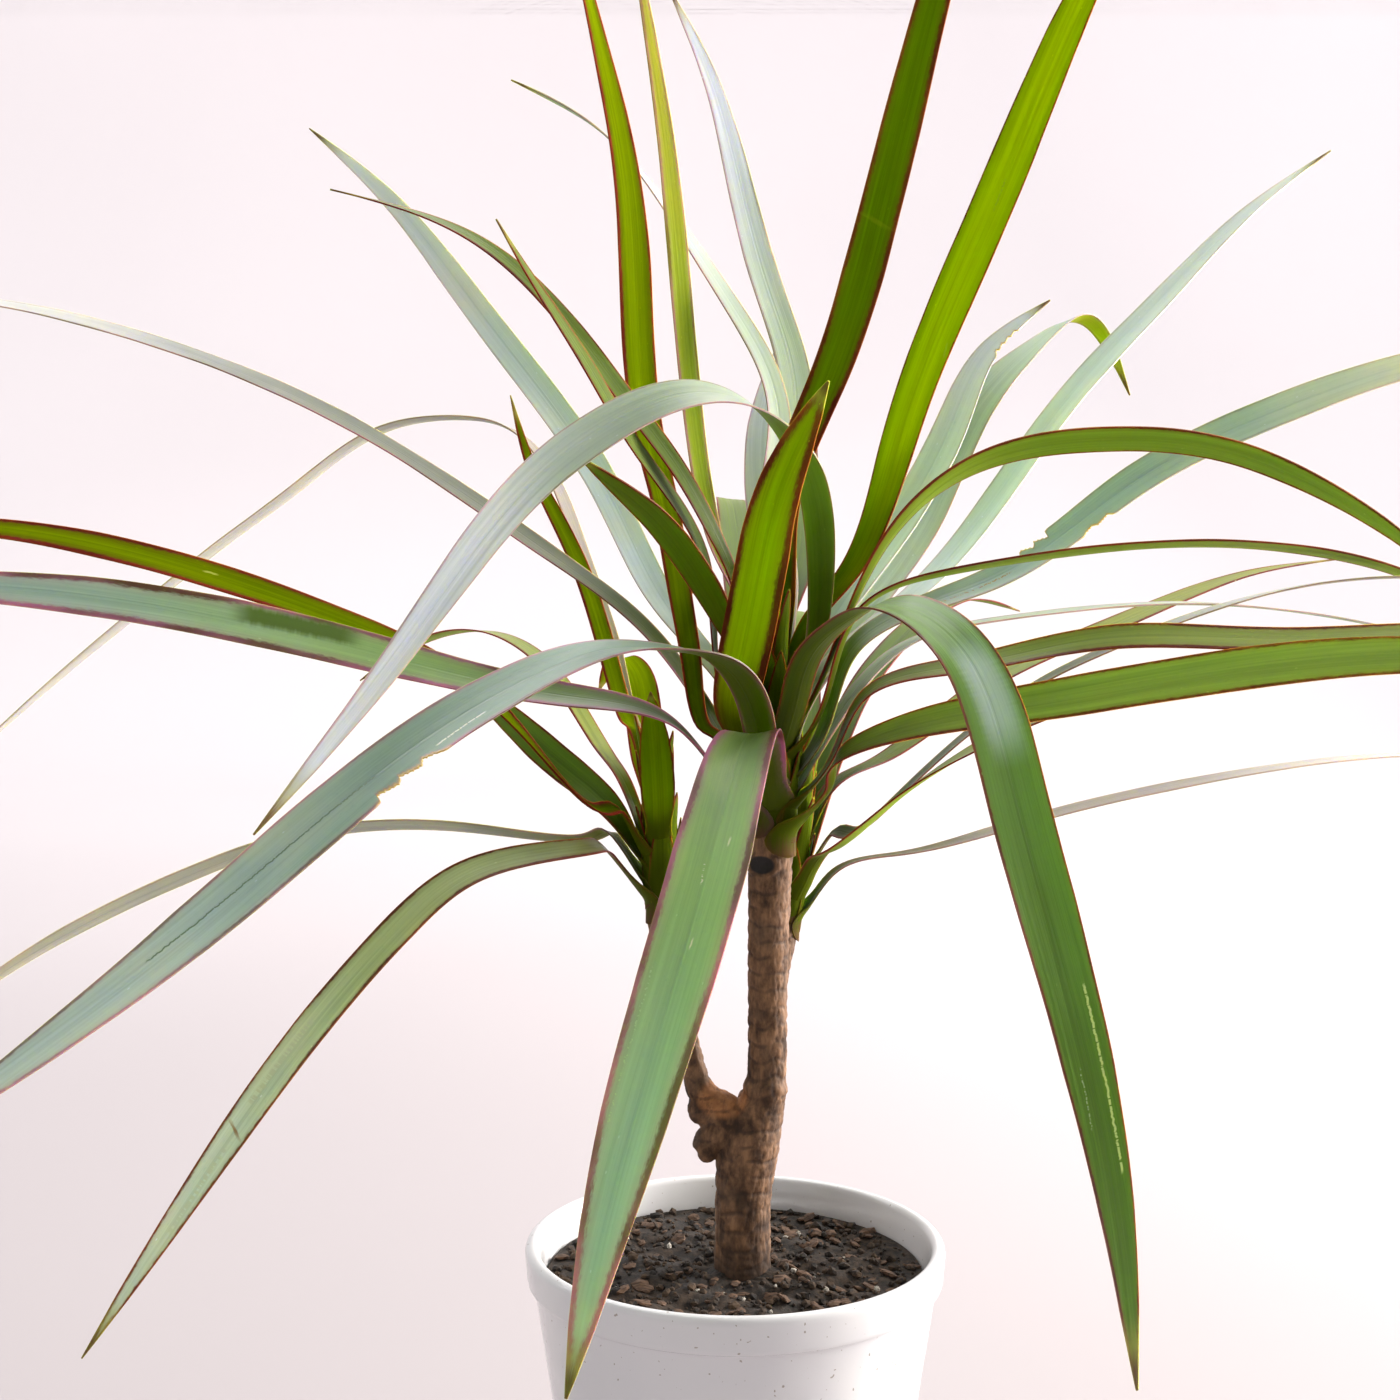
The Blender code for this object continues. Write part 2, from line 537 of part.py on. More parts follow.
def build_leaf(leaf, material, group):
    """A strap-shaped blade: a grid laid along the midrib, folded in a shallow channel."""
    name, crown, level, heading, width, middle_twist, tip_twist, route = leaf
    rows, along, sides, shares = leaf_rows(crown, level, heading, middle_twist, tip_twist, route)
    uppers = np.cross(along, sides)
    last = len(rows) - 1
    profile = BROAD_SHARES if name in BROAD_LEAVES else WIDTH_SHARES
    widths = width * np.interp(shares, *zip(*profile))

    grid = bmesh.new()
    bmesh.ops.create_grid(grid, x_segments=last, y_segments=CELLS_ACROSS, size=1.0)
    for vertex in grid.verts:
        i = round((vertex.co.x + 1.0) / 2.0 * last)
        across = vertex.co.y
        twist = math.radians(twist_at(shares[i], middle_twist, tip_twist))
        side = sides[i] * math.cos(twist) + uppers[i] * math.sin(twist)
        upper = uppers[i] * math.cos(twist) - sides[i] * math.sin(twist)
        fold = math.radians(CHANNEL_REST + CHANNEL_FOOT * math.exp(-shares[i] / 0.2))
        half = across * widths[i] / 2.0
        place = rows[i] + side * half * math.cos(fold) + upper * abs(half) * math.sin(fold)
        vertex.co = place * MM
    bmesh.ops.triangulate(grid, faces=grid.faces, quad_method="FIXED")
    mesh = bpy.data.meshes.new(name)
    grid.to_mesh(mesh)
    grid.free()
    blade = add_object(name, mesh, material, group)
    shell = blade.modifiers.new("blade thickness", "SOLIDIFY")
    shell.thickness = BLADE * MM
    shell.offset = 0.0
    shell.use_even_offset = True
    apply_modifiers(blade)
    shade_smooth(blade, 40.0)
    return blade


def main():
    clear_scene()
    group = new_collection("potted_dragon_tree")
    cutters = new_collection("cutters")
    materials = make_materials()
    build_pot(materials["pot_glaze"], group)
    build_soil(materials["soil"], group, cutters)
    build_trunk(materials["bark"], group, cutters)
    for leaf in LEAVES:
        build_leaf(leaf, materials["leaf"], group)


main()
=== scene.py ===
"""A potted dragon tree in a pale studio: its white pot, soil, forked trunk, leaves, floor and light.

Lengths in the lists are millimetres, with the pot's foot centred on the origin, +X to the right
and -Y towards the viewer. Everything that is built is in metres.
"""
import math
import random

import bmesh
import bpy
import numpy as np
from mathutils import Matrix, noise


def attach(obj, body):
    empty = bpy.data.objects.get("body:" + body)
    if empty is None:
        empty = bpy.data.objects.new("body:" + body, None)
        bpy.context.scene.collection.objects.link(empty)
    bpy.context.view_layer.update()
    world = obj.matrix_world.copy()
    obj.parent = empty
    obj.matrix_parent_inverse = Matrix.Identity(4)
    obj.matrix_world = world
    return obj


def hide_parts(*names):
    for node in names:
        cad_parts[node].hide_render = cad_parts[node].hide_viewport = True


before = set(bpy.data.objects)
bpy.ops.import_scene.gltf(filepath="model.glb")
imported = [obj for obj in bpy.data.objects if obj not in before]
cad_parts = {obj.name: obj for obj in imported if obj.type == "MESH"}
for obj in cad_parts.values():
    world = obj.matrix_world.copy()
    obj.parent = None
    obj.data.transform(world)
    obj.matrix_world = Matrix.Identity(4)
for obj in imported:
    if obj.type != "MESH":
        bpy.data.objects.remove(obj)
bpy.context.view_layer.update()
MM = 0.001

# The camera. A normal lens a little over half a metre in front of the trunk, level with the tops
# of the bent leaves and tipped slightly down.
CAMERA_PLACE = (-10.0, -560.0, 309.0)
CAMERA_TIP = 4.5
CAMERA_LENS = 51.43
CAMERA_SENSOR = 36.0

bpy.ops.object.camera_add(
    location=[v * MM for v in CAMERA_PLACE],
    rotation=(math.radians(90.0 - CAMERA_TIP), 0.0, 0.0))
camera = bpy.context.object
camera.name = "studio_camera"
camera.data.sensor_width = CAMERA_SENSOR
camera.data.lens = CAMERA_LENS
camera.data.clip_start = 0.01
bpy.context.scene.camera = camera


# The pot. A plain cup of cast stoneware with a thicker rim band, dipped in white gloss glaze. The
# foot ring is wiped bare before firing, so the clay shows where it stands.
POT_HEIGHT = 110.0
POT_FOOT_RADIUS = 43.0
POT_RIM_RADIUS = 60.0
POT_WALL = 4.0
POT_FLOOR = 6.0
POT_SIDES = 144
FOOT_FACE = (40.9, 0.3)
FOOT_RING = 3.6
FOOT_RECESS = 1.4
POT_SHOULDER = (43.45, 4.2)
UNDER_BAND = (57.45, 98.5)
WALL_STEPS = 8


def inner_radius(height):
    """The pot's inner wall: a straight taper from the floor to the rim."""
    low = POT_FOOT_RADIUS - POT_WALL
    high = POT_RIM_RADIUS - POT_WALL
    return low + (high - low) * (height - POT_FLOOR) / (POT_HEIGHT - POT_FLOOR)


def take_alone(piece):
    """Select one piece and nothing else, and make it the active one."""
    bpy.ops.object.select_all(action="DESELECT")
    piece.select_set(True)
    bpy.context.view_layer.objects.active = piece


def begin_edit(piece):
    """Go into edit mode on one piece alone, with nothing of it selected."""
    take_alone(piece)
    bpy.ops.object.mode_set(mode="EDIT")
    bpy.ops.mesh.select_mode(type="FACE")
    bpy.ops.mesh.select_all(action="DESELECT")


def end_edit():
    """Go back to object mode."""
    bpy.ops.object.mode_set(mode="OBJECT")


def select_faces(piece, wanted):
    """Select the faces whose centre and normal pass a test."""
    mesh = bmesh.from_edit_mesh(piece.data)
    for face in mesh.faces:
        face.select = wanted(face.calc_center_median(), face.normal)
    bmesh.update_edit_mesh(piece.data)


def settle(piece):
    """Leave a finished piece at the origin, unturned and unscaled, with its place in its mesh."""
    take_alone(piece)
    bpy.ops.object.transform_apply(location=True, rotation=True, scale=True)


def smooth_below(piece, degrees):
    """Shade round walls smooth and keep sharper edges crisp."""
    take_alone(piece)
    bpy.ops.object.shade_smooth_by_angle(angle=math.radians(degrees))


def join_all(pieces, name):
    """Join pieces into the first of them, under a name of its own."""
    take_alone(pieces[0])
    for piece in pieces[1:]:
        piece.select_set(True)
    bpy.ops.object.join()
    pieces[0].name = name
    return pieces[0]


def thicken(piece, thickness, group="", thin_share=0.0):
    """Give a sheet its thickness, half on each side, and less at the edges of a vertex group."""
    shell = piece.modifiers.new("thickness", "SOLIDIFY")
    shell.thickness = thickness * MM
    shell.offset = 0.0
    shell.vertex_group = group
    shell.thickness_vertex_group = thin_share
    shell.material_offset = 1
    bpy.ops.object.modifier_apply(modifier=shell.name)


def raise_ring(from_radius, from_height, radius, height):
    """Pull the selected face up or down to a new height and open or close it to a new radius."""
    bpy.ops.mesh.extrude_region_move(
        TRANSFORM_OT_translate={"value": (0.0, 0.0, (height - from_height) * MM)})
    share = radius / from_radius
    bpy.ops.transform.resize(
        value=(share, share, 1.0), center_override=(0.0, 0.0, height * MM))


bpy.ops.mesh.primitive_cylinder_add(
    vertices=POT_SIDES, radius=FOOT_FACE[0] * MM, depth=FOOT_FACE[1] * MM,
    location=(0.0, 0.0, FOOT_FACE[1] / 2 * MM))
pot = bpy.context.object
pot.name = "pot_glazed"
settle(pot)
begin_edit(pot)
select_faces(pot, lambda centre, normal: normal.z > 0.9)
pot_profile = [FOOT_FACE, (41.9, 0.7), (42.7, 1.5), (43.2, 2.6), POT_SHOULDER]
for step in range(1, WALL_STEPS + 1):
    pot_profile.append(tuple(low + (high - low) * step / WALL_STEPS
                             for low, high in zip(POT_SHOULDER, UNDER_BAND)))
pot_profile += [(57.55, 98.9), (57.85, 99.2), (58.4, 99.45), (59.0, 99.75), (59.3, 100.3),
                (59.42, 101.0), (59.9, 107.4), (59.92, 108.3), (59.7, 109.0), (59.3, 109.5),
                (58.75, 109.85), (58.1, 110.0), (57.4, 109.95), (56.8, 109.65), (56.35, 109.15),
                (56.0, 108.4)]
pot_profile += [(inner_radius(z), z) for z in (104.0, 98.0, 80.0, 60.0, 40.0, 20.0, 9.5)]
pot_profile += [(37.6, 7.2), (35.0, 6.1), (20.0, 6.0)]
for here, after in zip(pot_profile, pot_profile[1:]):
    raise_ring(*here, *after)
select_faces(pot, lambda centre, normal: normal.z < -0.9 and centre.z < 0.05 * MM)
bpy.ops.mesh.inset(thickness=FOOT_RING * MM)
raise_ring(FOOT_FACE[0] - FOOT_RING, 0.0, 36.5, FOOT_RECESS)
bpy.ops.mesh.inset(thickness=12.0 * MM)
end_edit()
smooth_below(pot, 32.0)


def new_skin(name):
    """A material with its shader and an Object coordinate to hang patterns on."""
    skin = bpy.data.materials.new(name)
    skin.use_nodes = True
    tree = skin.node_tree
    shader = tree.nodes["Principled BSDF"]
    place = tree.nodes.new("ShaderNodeTexCoord").outputs["Object"]
    return skin, tree, shader, place


def put(tree, socket, value):
    """Link a socket to another, or set it to a plain value."""
    if isinstance(value, bpy.types.NodeSocket):
        tree.links.new(value, socket)
    elif isinstance(value, tuple) and len(value) == 3 and socket.type == "RGBA":
        socket.default_value = (*value, 1.0)
    else:
        socket.default_value = value


def grain(tree, place, scale, detail=3.0, roughness=0.55, stretch=(1.0, 1.0, 1.0), shift=(0, 0, 0)):
    """Soft noise from 0 to 1, with its grain stretched along the axes."""
    mapping = tree.nodes.new("ShaderNodeMapping")
    put(tree, mapping.inputs["Vector"], place)
    mapping.inputs["Scale"].default_value = stretch
    mapping.inputs["Location"].default_value = shift
    spots = tree.nodes.new("ShaderNodeTexNoise")
    put(tree, spots.inputs["Vector"], mapping.outputs["Vector"])
    spots.inputs["Scale"].default_value = scale
    spots.inputs["Detail"].default_value = detail
    spots.inputs["Roughness"].default_value = roughness
    return spots.outputs["Fac"]


def span(tree, value, low, high, out_low=0.0, out_high=1.0):
    """Stretch the part of a value from low to high over another range, eased and clamped."""
    node = tree.nodes.new("ShaderNodeMapRange")
    node.interpolation_type = "SMOOTHSTEP"
    put(tree, node.inputs["Value"], value)
    put(tree, node.inputs["From Min"], low)
    put(tree, node.inputs["From Max"], high)
    put(tree, node.inputs["To Min"], out_low)
    put(tree, node.inputs["To Max"], out_high)
    return node.outputs["Result"]


def sum_of(tree, kind, first, second, third=None):
    """One step of arithmetic on two or three values."""
    node = tree.nodes.new("ShaderNodeMath")
    node.operation = kind
    put(tree, node.inputs[0], first)
    put(tree, node.inputs[1], second)
    if third is not None:
        put(tree, node.inputs[2], third)
    return node.outputs[0]


def blend_of(tree, share, first, second, kind="MIX"):
    """A colour between two others."""
    node = tree.nodes.new("ShaderNodeMix")
    node.data_type = "RGBA"
    node.blend_type = kind
    put(tree, node.inputs[0], share)
    put(tree, node.inputs[6], first)
    put(tree, node.inputs[7], second)
    return node.outputs[2]


def tinted(tree, colour, tint):
    """A colour multiplied by another."""
    return blend_of(tree, 1.0, colour, tint, "MULTIPLY")


def nudged(tree, value, pattern, amount):
    """A value pushed up and down by a pattern."""
    return sum_of(tree, "MULTIPLY_ADD", sum_of(tree, "SUBTRACT", pattern, 0.5), amount, value)


def axis_of(tree, place, axis):
    """One coordinate of a place."""
    node = tree.nodes.new("ShaderNodeSeparateXYZ")
    put(tree, node.inputs[0], place)
    return node.outputs[axis]


def carry(mesh, numbers):
    """Let the mesh carry numbers at each vertex, each under its own title."""
    for title, values in numbers.items():
        mark = mesh.attributes.new(title, "FLOAT", "POINT")
        mark.data.foreach_set("value", np.asarray(values, np.float32))


def measure(tree, title):
    """A number that the mesh carries at each vertex, for its skin to read."""
    node = tree.nodes.new("ShaderNodeAttribute")
    node.attribute_name = title
    return node.outputs["Fac"]


def relief(tree, height, depth_mm, strength=1.0, under=None):
    """Surface relief of a given depth from a height of 0 to 1."""
    node = tree.nodes.new("ShaderNodeBump")
    put(tree, node.inputs["Height"], height)
    node.inputs["Distance"].default_value = depth_mm * MM
    node.inputs["Strength"].default_value = strength
    if under is not None:
        put(tree, node.inputs["Normal"], under)
    return node.outputs["Normal"]


def dress(tree, shader, colour, roughness, normal):
    """Give a shader its colour, its roughness and its relief."""
    for title, value in (("Base Color", colour), ("Roughness", roughness), ("Normal", normal)):
        put(tree, shader.inputs[title], value)


glaze, tree, shader, place = new_skin("white_gloss_glaze")
clouds = grain(tree, place, 28.0, 2.0)
colour = blend_of(tree, span(tree, clouds, 0.35, 0.7), (0.80, 0.80, 0.82), (0.86, 0.86, 0.86))
pinholes = span(tree, grain(tree, place, 900.0, 0.0), 0.80, 0.84)
colour = blend_of(tree, pinholes, colour, (0.45, 0.41, 0.37))
height = axis_of(tree, place, "Z")
ragged = sum_of(tree, "MULTIPLY_ADD", grain(tree, place, 160.0, 3.0), 1.2 * MM, height)
bare = span(tree, ragged, 1.3 * MM, 1.7 * MM, 1.0, 0.0)
clay = blend_of(tree, grain(tree, place, 1400.0), (0.50, 0.43, 0.34), (0.64, 0.57, 0.47))
colour = blend_of(tree, bare, colour, clay)
roughness = span(tree, grain(tree, place, 60.0, 2.0), 0.3, 0.7, 0.07, 0.15)
roughness = sum_of(tree, "MULTIPLY_ADD", bare, 0.65, roughness)
ripple = relief(tree, grain(tree, place, 90.0, 1.0), 0.10)
orange_peel = relief(tree, grain(tree, place, 700.0, 2.0), 0.012, 1.0, ripple)
dress(tree, shader, colour, roughness, orange_peel)
pot.data.materials.append(glaze)
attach(pot, "root")
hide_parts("pot")


# The soil. Dark peat and bark compost, pressed down unevenly and just below the rim, with loose
# crumbs, chips and a few grains of pumice lying on it.
SOIL_TOP = 101.0
SOIL_UNEVENNESS = 1.1
SOIL_SIDES = 160
TRUNK_AT_SOIL = (2.1, 0.0, 8.4)
CRUMBS = 1100
CHIPS = 150
PUMICE_GRAINS = 46
SOIL_DISC = 4.0
SOIL_SETTLED = 0.25
SOIL_RINGS = 44
SOIL_RING = 1.2


def soil_height(x, y):
    """Uneven soil: three crossed waves, which die out at the pot's wall."""
    waves = math.sin(0.21 * x + 0.9) * math.cos(0.17 * y - 0.4)
    waves += 0.6 * math.sin(0.37 * x - 0.29 * y + 2.0)
    waves += 0.4 * math.cos(0.11 * x + 0.53 * y)
    edge = min(1.0, max(0.0, (52.0 - math.hypot(x, y)) / 10.0))
    return SOIL_TOP + SOIL_UNEVENNESS * waves * edge


def crumbled(x, y):
    """The soil's own lumps, on top of its waves."""
    lumps = noise.noise((x * 0.45, y * 0.45, 3.1)) * 0.55
    lumps += noise.noise((x * 1.3, y * 1.3, 7.7)) * 0.35
    gap = math.hypot(x - TRUNK_AT_SOIL[0], y - TRUNK_AT_SOIL[1]) - TRUNK_AT_SOIL[2]
    banked = 0.9 * math.exp(-max(gap, 0.0) / 3.0)
    return lumps + banked


soil_radius = inner_radius(SOIL_TOP) - 0.45
soil_floor = POT_FLOOR + 0.5
disc_top = soil_floor + SOIL_DISC
disc_radius = inner_radius(disc_top) - 0.6
bpy.ops.mesh.primitive_cylinder_add(
    vertices=SOIL_SIDES, radius=disc_radius * MM, depth=SOIL_DISC * MM,
    location=(0.0, 0.0, (soil_floor + SOIL_DISC / 2) * MM))
soil = bpy.context.object
soil.name = "soil_peat"
settle(soil)
begin_edit(soil)
select_faces(soil, lambda centre, normal: normal.z > 0.9)
raise_ring(disc_radius, disc_top, soil_radius, SOIL_TOP - 1.2)
raise_ring(soil_radius, SOIL_TOP - 1.2, soil_radius - 0.3, SOIL_TOP - 0.2)
for _ in range(SOIL_RINGS):
    bpy.ops.mesh.inset(thickness=SOIL_RING * MM)
end_edit()
for vertex in soil.data.vertices:
    if vertex.co.z > (SOIL_TOP - 0.5) * MM:
        x, y = vertex.co.x / MM, vertex.co.y / MM
        fade = min(1.0, (soil_radius - math.hypot(x, y)) / 3.0)
        vertex.co.z = (soil_height(x, y) - SOIL_SETTLED + crumbled(x, y) * fade) * MM
smooth_below(soil, 60.0)

peat, tree, shader, place = new_skin("peat")
fibres = grain(tree, place, 420.0, 6.0, 0.7)
colour = blend_of(tree, span(tree, fibres, 0.35, 0.68), (0.010, 0.007, 0.005), (0.058, 0.036, 0.022))
darkening = span(tree, grain(tree, place, 45.0, 2.0), 0.35, 0.65)
colour = blend_of(tree, darkening, colour, tinted(tree, colour, (0.62, 0.60, 0.58)))
dress(tree, shader, colour, span(tree, darkening, 0.0, 1.0, 0.95, 0.72), relief(tree, fibres, 0.6))
soil.data.materials.append(peat)
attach(soil, "root")
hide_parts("soil")


def scattered(name, count, sizes, flatness, seed, sink):
    """Copies of one rough crumb, each turned and sized by itself, lying on the soil as one piece."""
    bpy.ops.mesh.primitive_ico_sphere_add(subdivisions=1, radius=1.0)
    crumb = bpy.context.object
    corners = np.array([vertex.co[:] for vertex in crumb.data.vertices])
    sides = np.array([face.vertices[:] for face in crumb.data.polygons])
    rng = np.random.default_rng(seed)
    places, walls = [], []
    while len(places) < count:
        reach = (soil_radius - 2.2) * math.sqrt(rng.random())
        heading = rng.random() * 2.0 * math.pi
        x, y = reach * math.cos(heading), reach * math.sin(heading)
        if math.hypot(x - TRUNK_AT_SOIL[0], y - TRUNK_AT_SOIL[1]) < TRUNK_AT_SOIL[2] + 2.0:
            continue
        size = sizes[0] + (sizes[1] - sizes[0]) * rng.random() ** 2.5
        shape = corners * (1.0 + 0.35 * (rng.random((len(corners), 1)) - 0.5))
        shape = shape * size * np.array([1.0, 0.75, flatness]) * (0.8 + 0.5 * rng.random(3))
        turn, tip = rng.random() * 2.0 * math.pi, (rng.random() - 0.5) * 1.2
        turned = shape @ np.array([[1, 0, 0], [0, math.cos(tip), -math.sin(tip)],
                                   [0, math.sin(tip), math.cos(tip)]])
        turned = turned @ np.array([[math.cos(turn), -math.sin(turn), 0],
                                    [math.sin(turn), math.cos(turn), 0], [0, 0, 1]])
        top = soil_height(x, y) - SOIL_SETTLED + crumbled(x, y)
        places.append(turned + np.array([x, y, top + size * flatness * sink]))
        walls.append(sides + len(corners) * (len(places) - 1))
    crumb.data.clear_geometry()
    crumb.data.from_pydata((np.vstack(places) * MM).tolist(), [], np.vstack(walls).tolist())
    crumb.name = name
    settle(crumb)
    return crumb


crumbs = scattered("soil_crumbs", CRUMBS, (0.5, 1.9), 0.7, 11, 0.35)
crumb_skin, tree, shader, place = new_skin("peat_crumbs")
shade = span(tree, grain(tree, place, 260.0, 2.0), 0.35, 0.7)
colour = blend_of(tree, shade, (0.012, 0.008, 0.006), (0.085, 0.052, 0.030))
rough = relief(tree, grain(tree, place, 1500.0, 3.0), 0.2)
dress(tree, shader, colour, span(tree, shade, 0.0, 1.0, 0.8, 0.95), rough)
crumbs.data.materials.append(crumb_skin)
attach(crumbs, "root")

chips = scattered("bark_chips", CHIPS, (1.6, 3.6), 0.28, 23, 0.7)
chip_skin, tree, shader, place = new_skin("bark_chips")
streaks = grain(tree, place, 300.0, 4.0, 0.6, (1.0, 4.0, 1.0))
colour = blend_of(tree, span(tree, streaks, 0.3, 0.7), (0.035, 0.018, 0.010), (0.16, 0.085, 0.045))
dress(tree, shader, colour, span(tree, streaks, 0.3, 0.7, 0.9, 0.7), relief(tree, streaks, 0.3))
chips.data.materials.append(chip_skin)
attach(chips, "root")

pumice = scattered("pumice_grains", PUMICE_GRAINS, (0.5, 1.3), 0.85, 37, 0.4)
pumice_skin, tree, shader, place = new_skin("pumice")
pores = grain(tree, place, 2200.0, 3.0)
colour = blend_of(tree, span(tree, pores, 0.35, 0.6), (0.30, 0.26, 0.21), (0.66, 0.62, 0.55))
dress(tree, shader, colour, span(tree, pores, 0.3, 0.7, 0.95, 0.8), relief(tree, pores, 0.2))
pumice.data.materials.append(pumice_skin)
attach(pumice, "root")


# The trunk. A woody cane that forks three ways above an old pruning cut, with rings where leaves
# have dropped, thin flaking bark below and green bark among the leaf bases.
TRUNK_FOOT = 78.0
STEMS = {
    "main": [
        (2.0, 0.0, TRUNK_FOOT, 8.2), (2.2, 0.0, 104.0, 8.2), (2.5, 0.0, 124.0, 8.2),
        (4.6, 0.0, 140.0, 8.6), (8.2, 0.0, 151.0, 6.3), (9.2, 0.0, 162.0, 5.6),
        (9.2, 0.0, 180.0, 5.7), (9.5, 0.0, 204.0, 6.0),
    ],
    "left": [
        (1.0, 1.0, 132.0, 6.6), (-2.2, 1.2, 144.6, 6.8), (-8.4, 2.0, 150.6, 4.7),
        (-11.8, 3.0, 158.4, 3.7), (-14.0, 5.0, 167.0, 3.6), (-17.8, 9.5, 182.0, 3.9),
        (-20.3, 13.0, 195.0, 4.3),
    ],
    "rear": [
        (4.0, 4.0, 138.0, 6.4), (7.6, 11.0, 149.0, 5.4), (9.4, 23.0, 164.0, 4.8),
        (12.0, 35.0, 178.0, 4.7),
    ],
}
PRUNED_KNOB = (-8.4, 0.0, 138.4, 4.0)
CROWNS = {
    "main": {"foot": (10.0, 0.0, 228.0), "lean": (0.0, 0.0), "radii": (6.8, 3.0), "height": 56.0},
    "left": {"foot": (-21.0, 14.0, 203.0), "lean": (-0.04, 0.0), "radii": (4.6, 2.6), "height": 44.0},
    "rear": {"foot": (15.5, 42.0, 194.0), "lean": (0.10, 0.05), "radii": (4.9, 2.6), "height": 52.0},
}
BUD_TAPER = 20.0
BARK_CELL = 0.46
STEM_OFFSET = 170.0
BLOCK = 20000
RING_PITCH = 4.9
RING_DEPTH = 0.30
LIP_HEIGHT = 0.12
FLAKE_HEIGHT = 0.22
GRAIN_HEIGHT = 0.11
CRACK_DEPTH = 0.16
OVAL_SCAR = (7.0, -5.9, 219.0, 3.9, 2.6)
SCAR_RIM = 0.35
SCAR_DEPTH = 0.9
PRUNING_CUT = (-11.4, -0.8, 139.6)
CUT_DEPTH = 0.8
FORK_CREST = (-3.0, 0.0, 151.0)
FORK_REACH = (9.5, 9.5, 7.0)
SWELLINGS = [
    PRUNED_KNOB, (-5.0, -0.6, 140.4, 4.8), (5.6, 0.8, 144.0, 8.0), (6.4, 8.0, 148.0, 5.6),
    (-8.8, 1.6, 147.4, 4.9), (-8.0, -2.4, 136.0, 3.0), (8.6, -0.4, 153.6, 6.5),
]


def smooth_route(points, start, samples=40):
    """A smooth curve through the points, which leaves the first one in the start direction."""
    points = np.array(points, float)
    count = len(points)
    chords = np.linalg.norm(np.diff(points[:, :3], axis=0), axis=1)
    spans = chords ** 0.75
    system = np.zeros((count, count))
    target = np.zeros((count, points.shape[1]))
    system[0, 0] = 1.0
    target[0] = np.array(start) * chords[0] / spans[0]
    for i in range(1, count - 1):
        before, after = spans[i - 1], spans[i]
        system[i, i - 1:i + 2] = 1.0 / before, 2.0 / before + 2.0 / after, 1.0 / after
        target[i] = 3.0 * (points[i] - points[i - 1]) / before ** 2
        target[i] += 3.0 * (points[i + 1] - points[i]) / after ** 2
    system[-1, -2:] = 1.0 / spans[-1], 2.0 / spans[-1]
    target[-1] = 3.0 * (points[-1] - points[-2]) / spans[-1] ** 2
    slopes = np.linalg.solve(system, target)

    curve = []
    for i in range(count - 1):
        last = i == count - 2
        for t in np.linspace(0.0, 1.0, samples, endpoint=last):
            place = (2 * t ** 3 - 3 * t ** 2 + 1) * points[i] + (3 * t ** 2 - 2 * t ** 3) * points[i + 1]
            pull = (t ** 3 - 2 * t ** 2 + t) * slopes[i] + (t ** 3 - t ** 2) * slopes[i + 1]
            curve.append(place + spans[i] * pull)
    return np.array(curve)


def distances_along(curve):
    """How far along the curve each of its points is."""
    steps = np.linalg.norm(np.diff(curve[:, :3], axis=0), axis=1)
    return np.concatenate([[0.0], np.cumsum(steps)])


def at_distances(curve, travelled, wanted):
    """The curve's values at the wanted distances along it."""
    columns = [np.interp(wanted, travelled, curve[:, k]) for k in range(curve.shape[1])]
    return np.stack(columns, axis=1)


def crown_axis(crown, height):
    """The middle of a crown's stem, at a height above the crown's foot."""
    foot = np.array(CROWNS[crown]["foot"])
    lean = CROWNS[crown]["lean"]
    return foot + np.array([lean[0] * height, lean[1] * height, height])


def crown_radius(crown, height):
    """How thick a crown's stem is, at a height above the crown's foot."""
    low, high = CROWNS[crown]["radii"]
    return low + (high - low) * min(max(height / CROWNS[crown]["height"], 0.0), 1.0)


def stem_rows(points, crown):
    """Points and radii every millimetre along a stem and up through its crown."""
    route = list(points) + [(*crown_axis(crown, 0.0), CROWNS[crown]["radii"][0])]
    curve = smooth_route(route, (0.0, 0.0, 1.0, 0.0))
    travelled = distances_along(curve)
    rows = at_distances(curve, travelled, np.arange(0.0, travelled[-1], 1.0))
    height = CROWNS[crown]["height"]
    tops = [(*crown_axis(crown, h), crown_radius(crown, h) * min(1.0, (height + 5.0 - h) / BUD_TAPER))
            for h in np.arange(0.0, height + 0.1, 2.0)]
    return np.vstack([rows, tops])


def stem_tube(name, rows):
    """A round tube along the rows, as a mesh."""
    path = bpy.data.curves.new(name, "CURVE")
    path.dimensions = "3D"
    path.bevel_depth = 1.0
    path.bevel_resolution = 8
    path.use_fill_caps = True
    line = path.splines.new("POLY")
    line.points.add(len(rows) - 1)
    for point, (x, y, z, radius) in zip(line.points, rows):
        point.co = (x * MM, y * MM, z * MM, 1.0)
        point.radius = radius * MM
    tube = bpy.data.objects.new(name, path)
    bpy.context.scene.collection.objects.link(tube)
    take_alone(tube)
    bpy.ops.object.convert(target="MESH")
    return bpy.context.object


stems = {crown: stem_rows(points, crown) for crown, points in STEMS.items()}
parts_of_trunk = [stem_tube("cane_" + crown, rows) for crown, rows in stems.items()]
for x, y, z, radius in SWELLINGS:
    bpy.ops.mesh.primitive_ico_sphere_add(
        subdivisions=3, radius=radius * MM, location=(x * MM, y * MM, z * MM))
    parts_of_trunk.append(bpy.context.object)
trunk = join_all(parts_of_trunk, "trunk_bark")
settle(trunk)
grown = trunk.modifiers.new("grown together", "REMESH")
grown.mode = "VOXEL"
grown.voxel_size = BARK_CELL * MM
bpy.ops.object.modifier_apply(modifier=grown.name)
eased = trunk.modifiers.new("eased", "SMOOTH")
eased.factor = 0.5
eased.iterations = 8
bpy.ops.object.modifier_apply(modifier=eased.name)

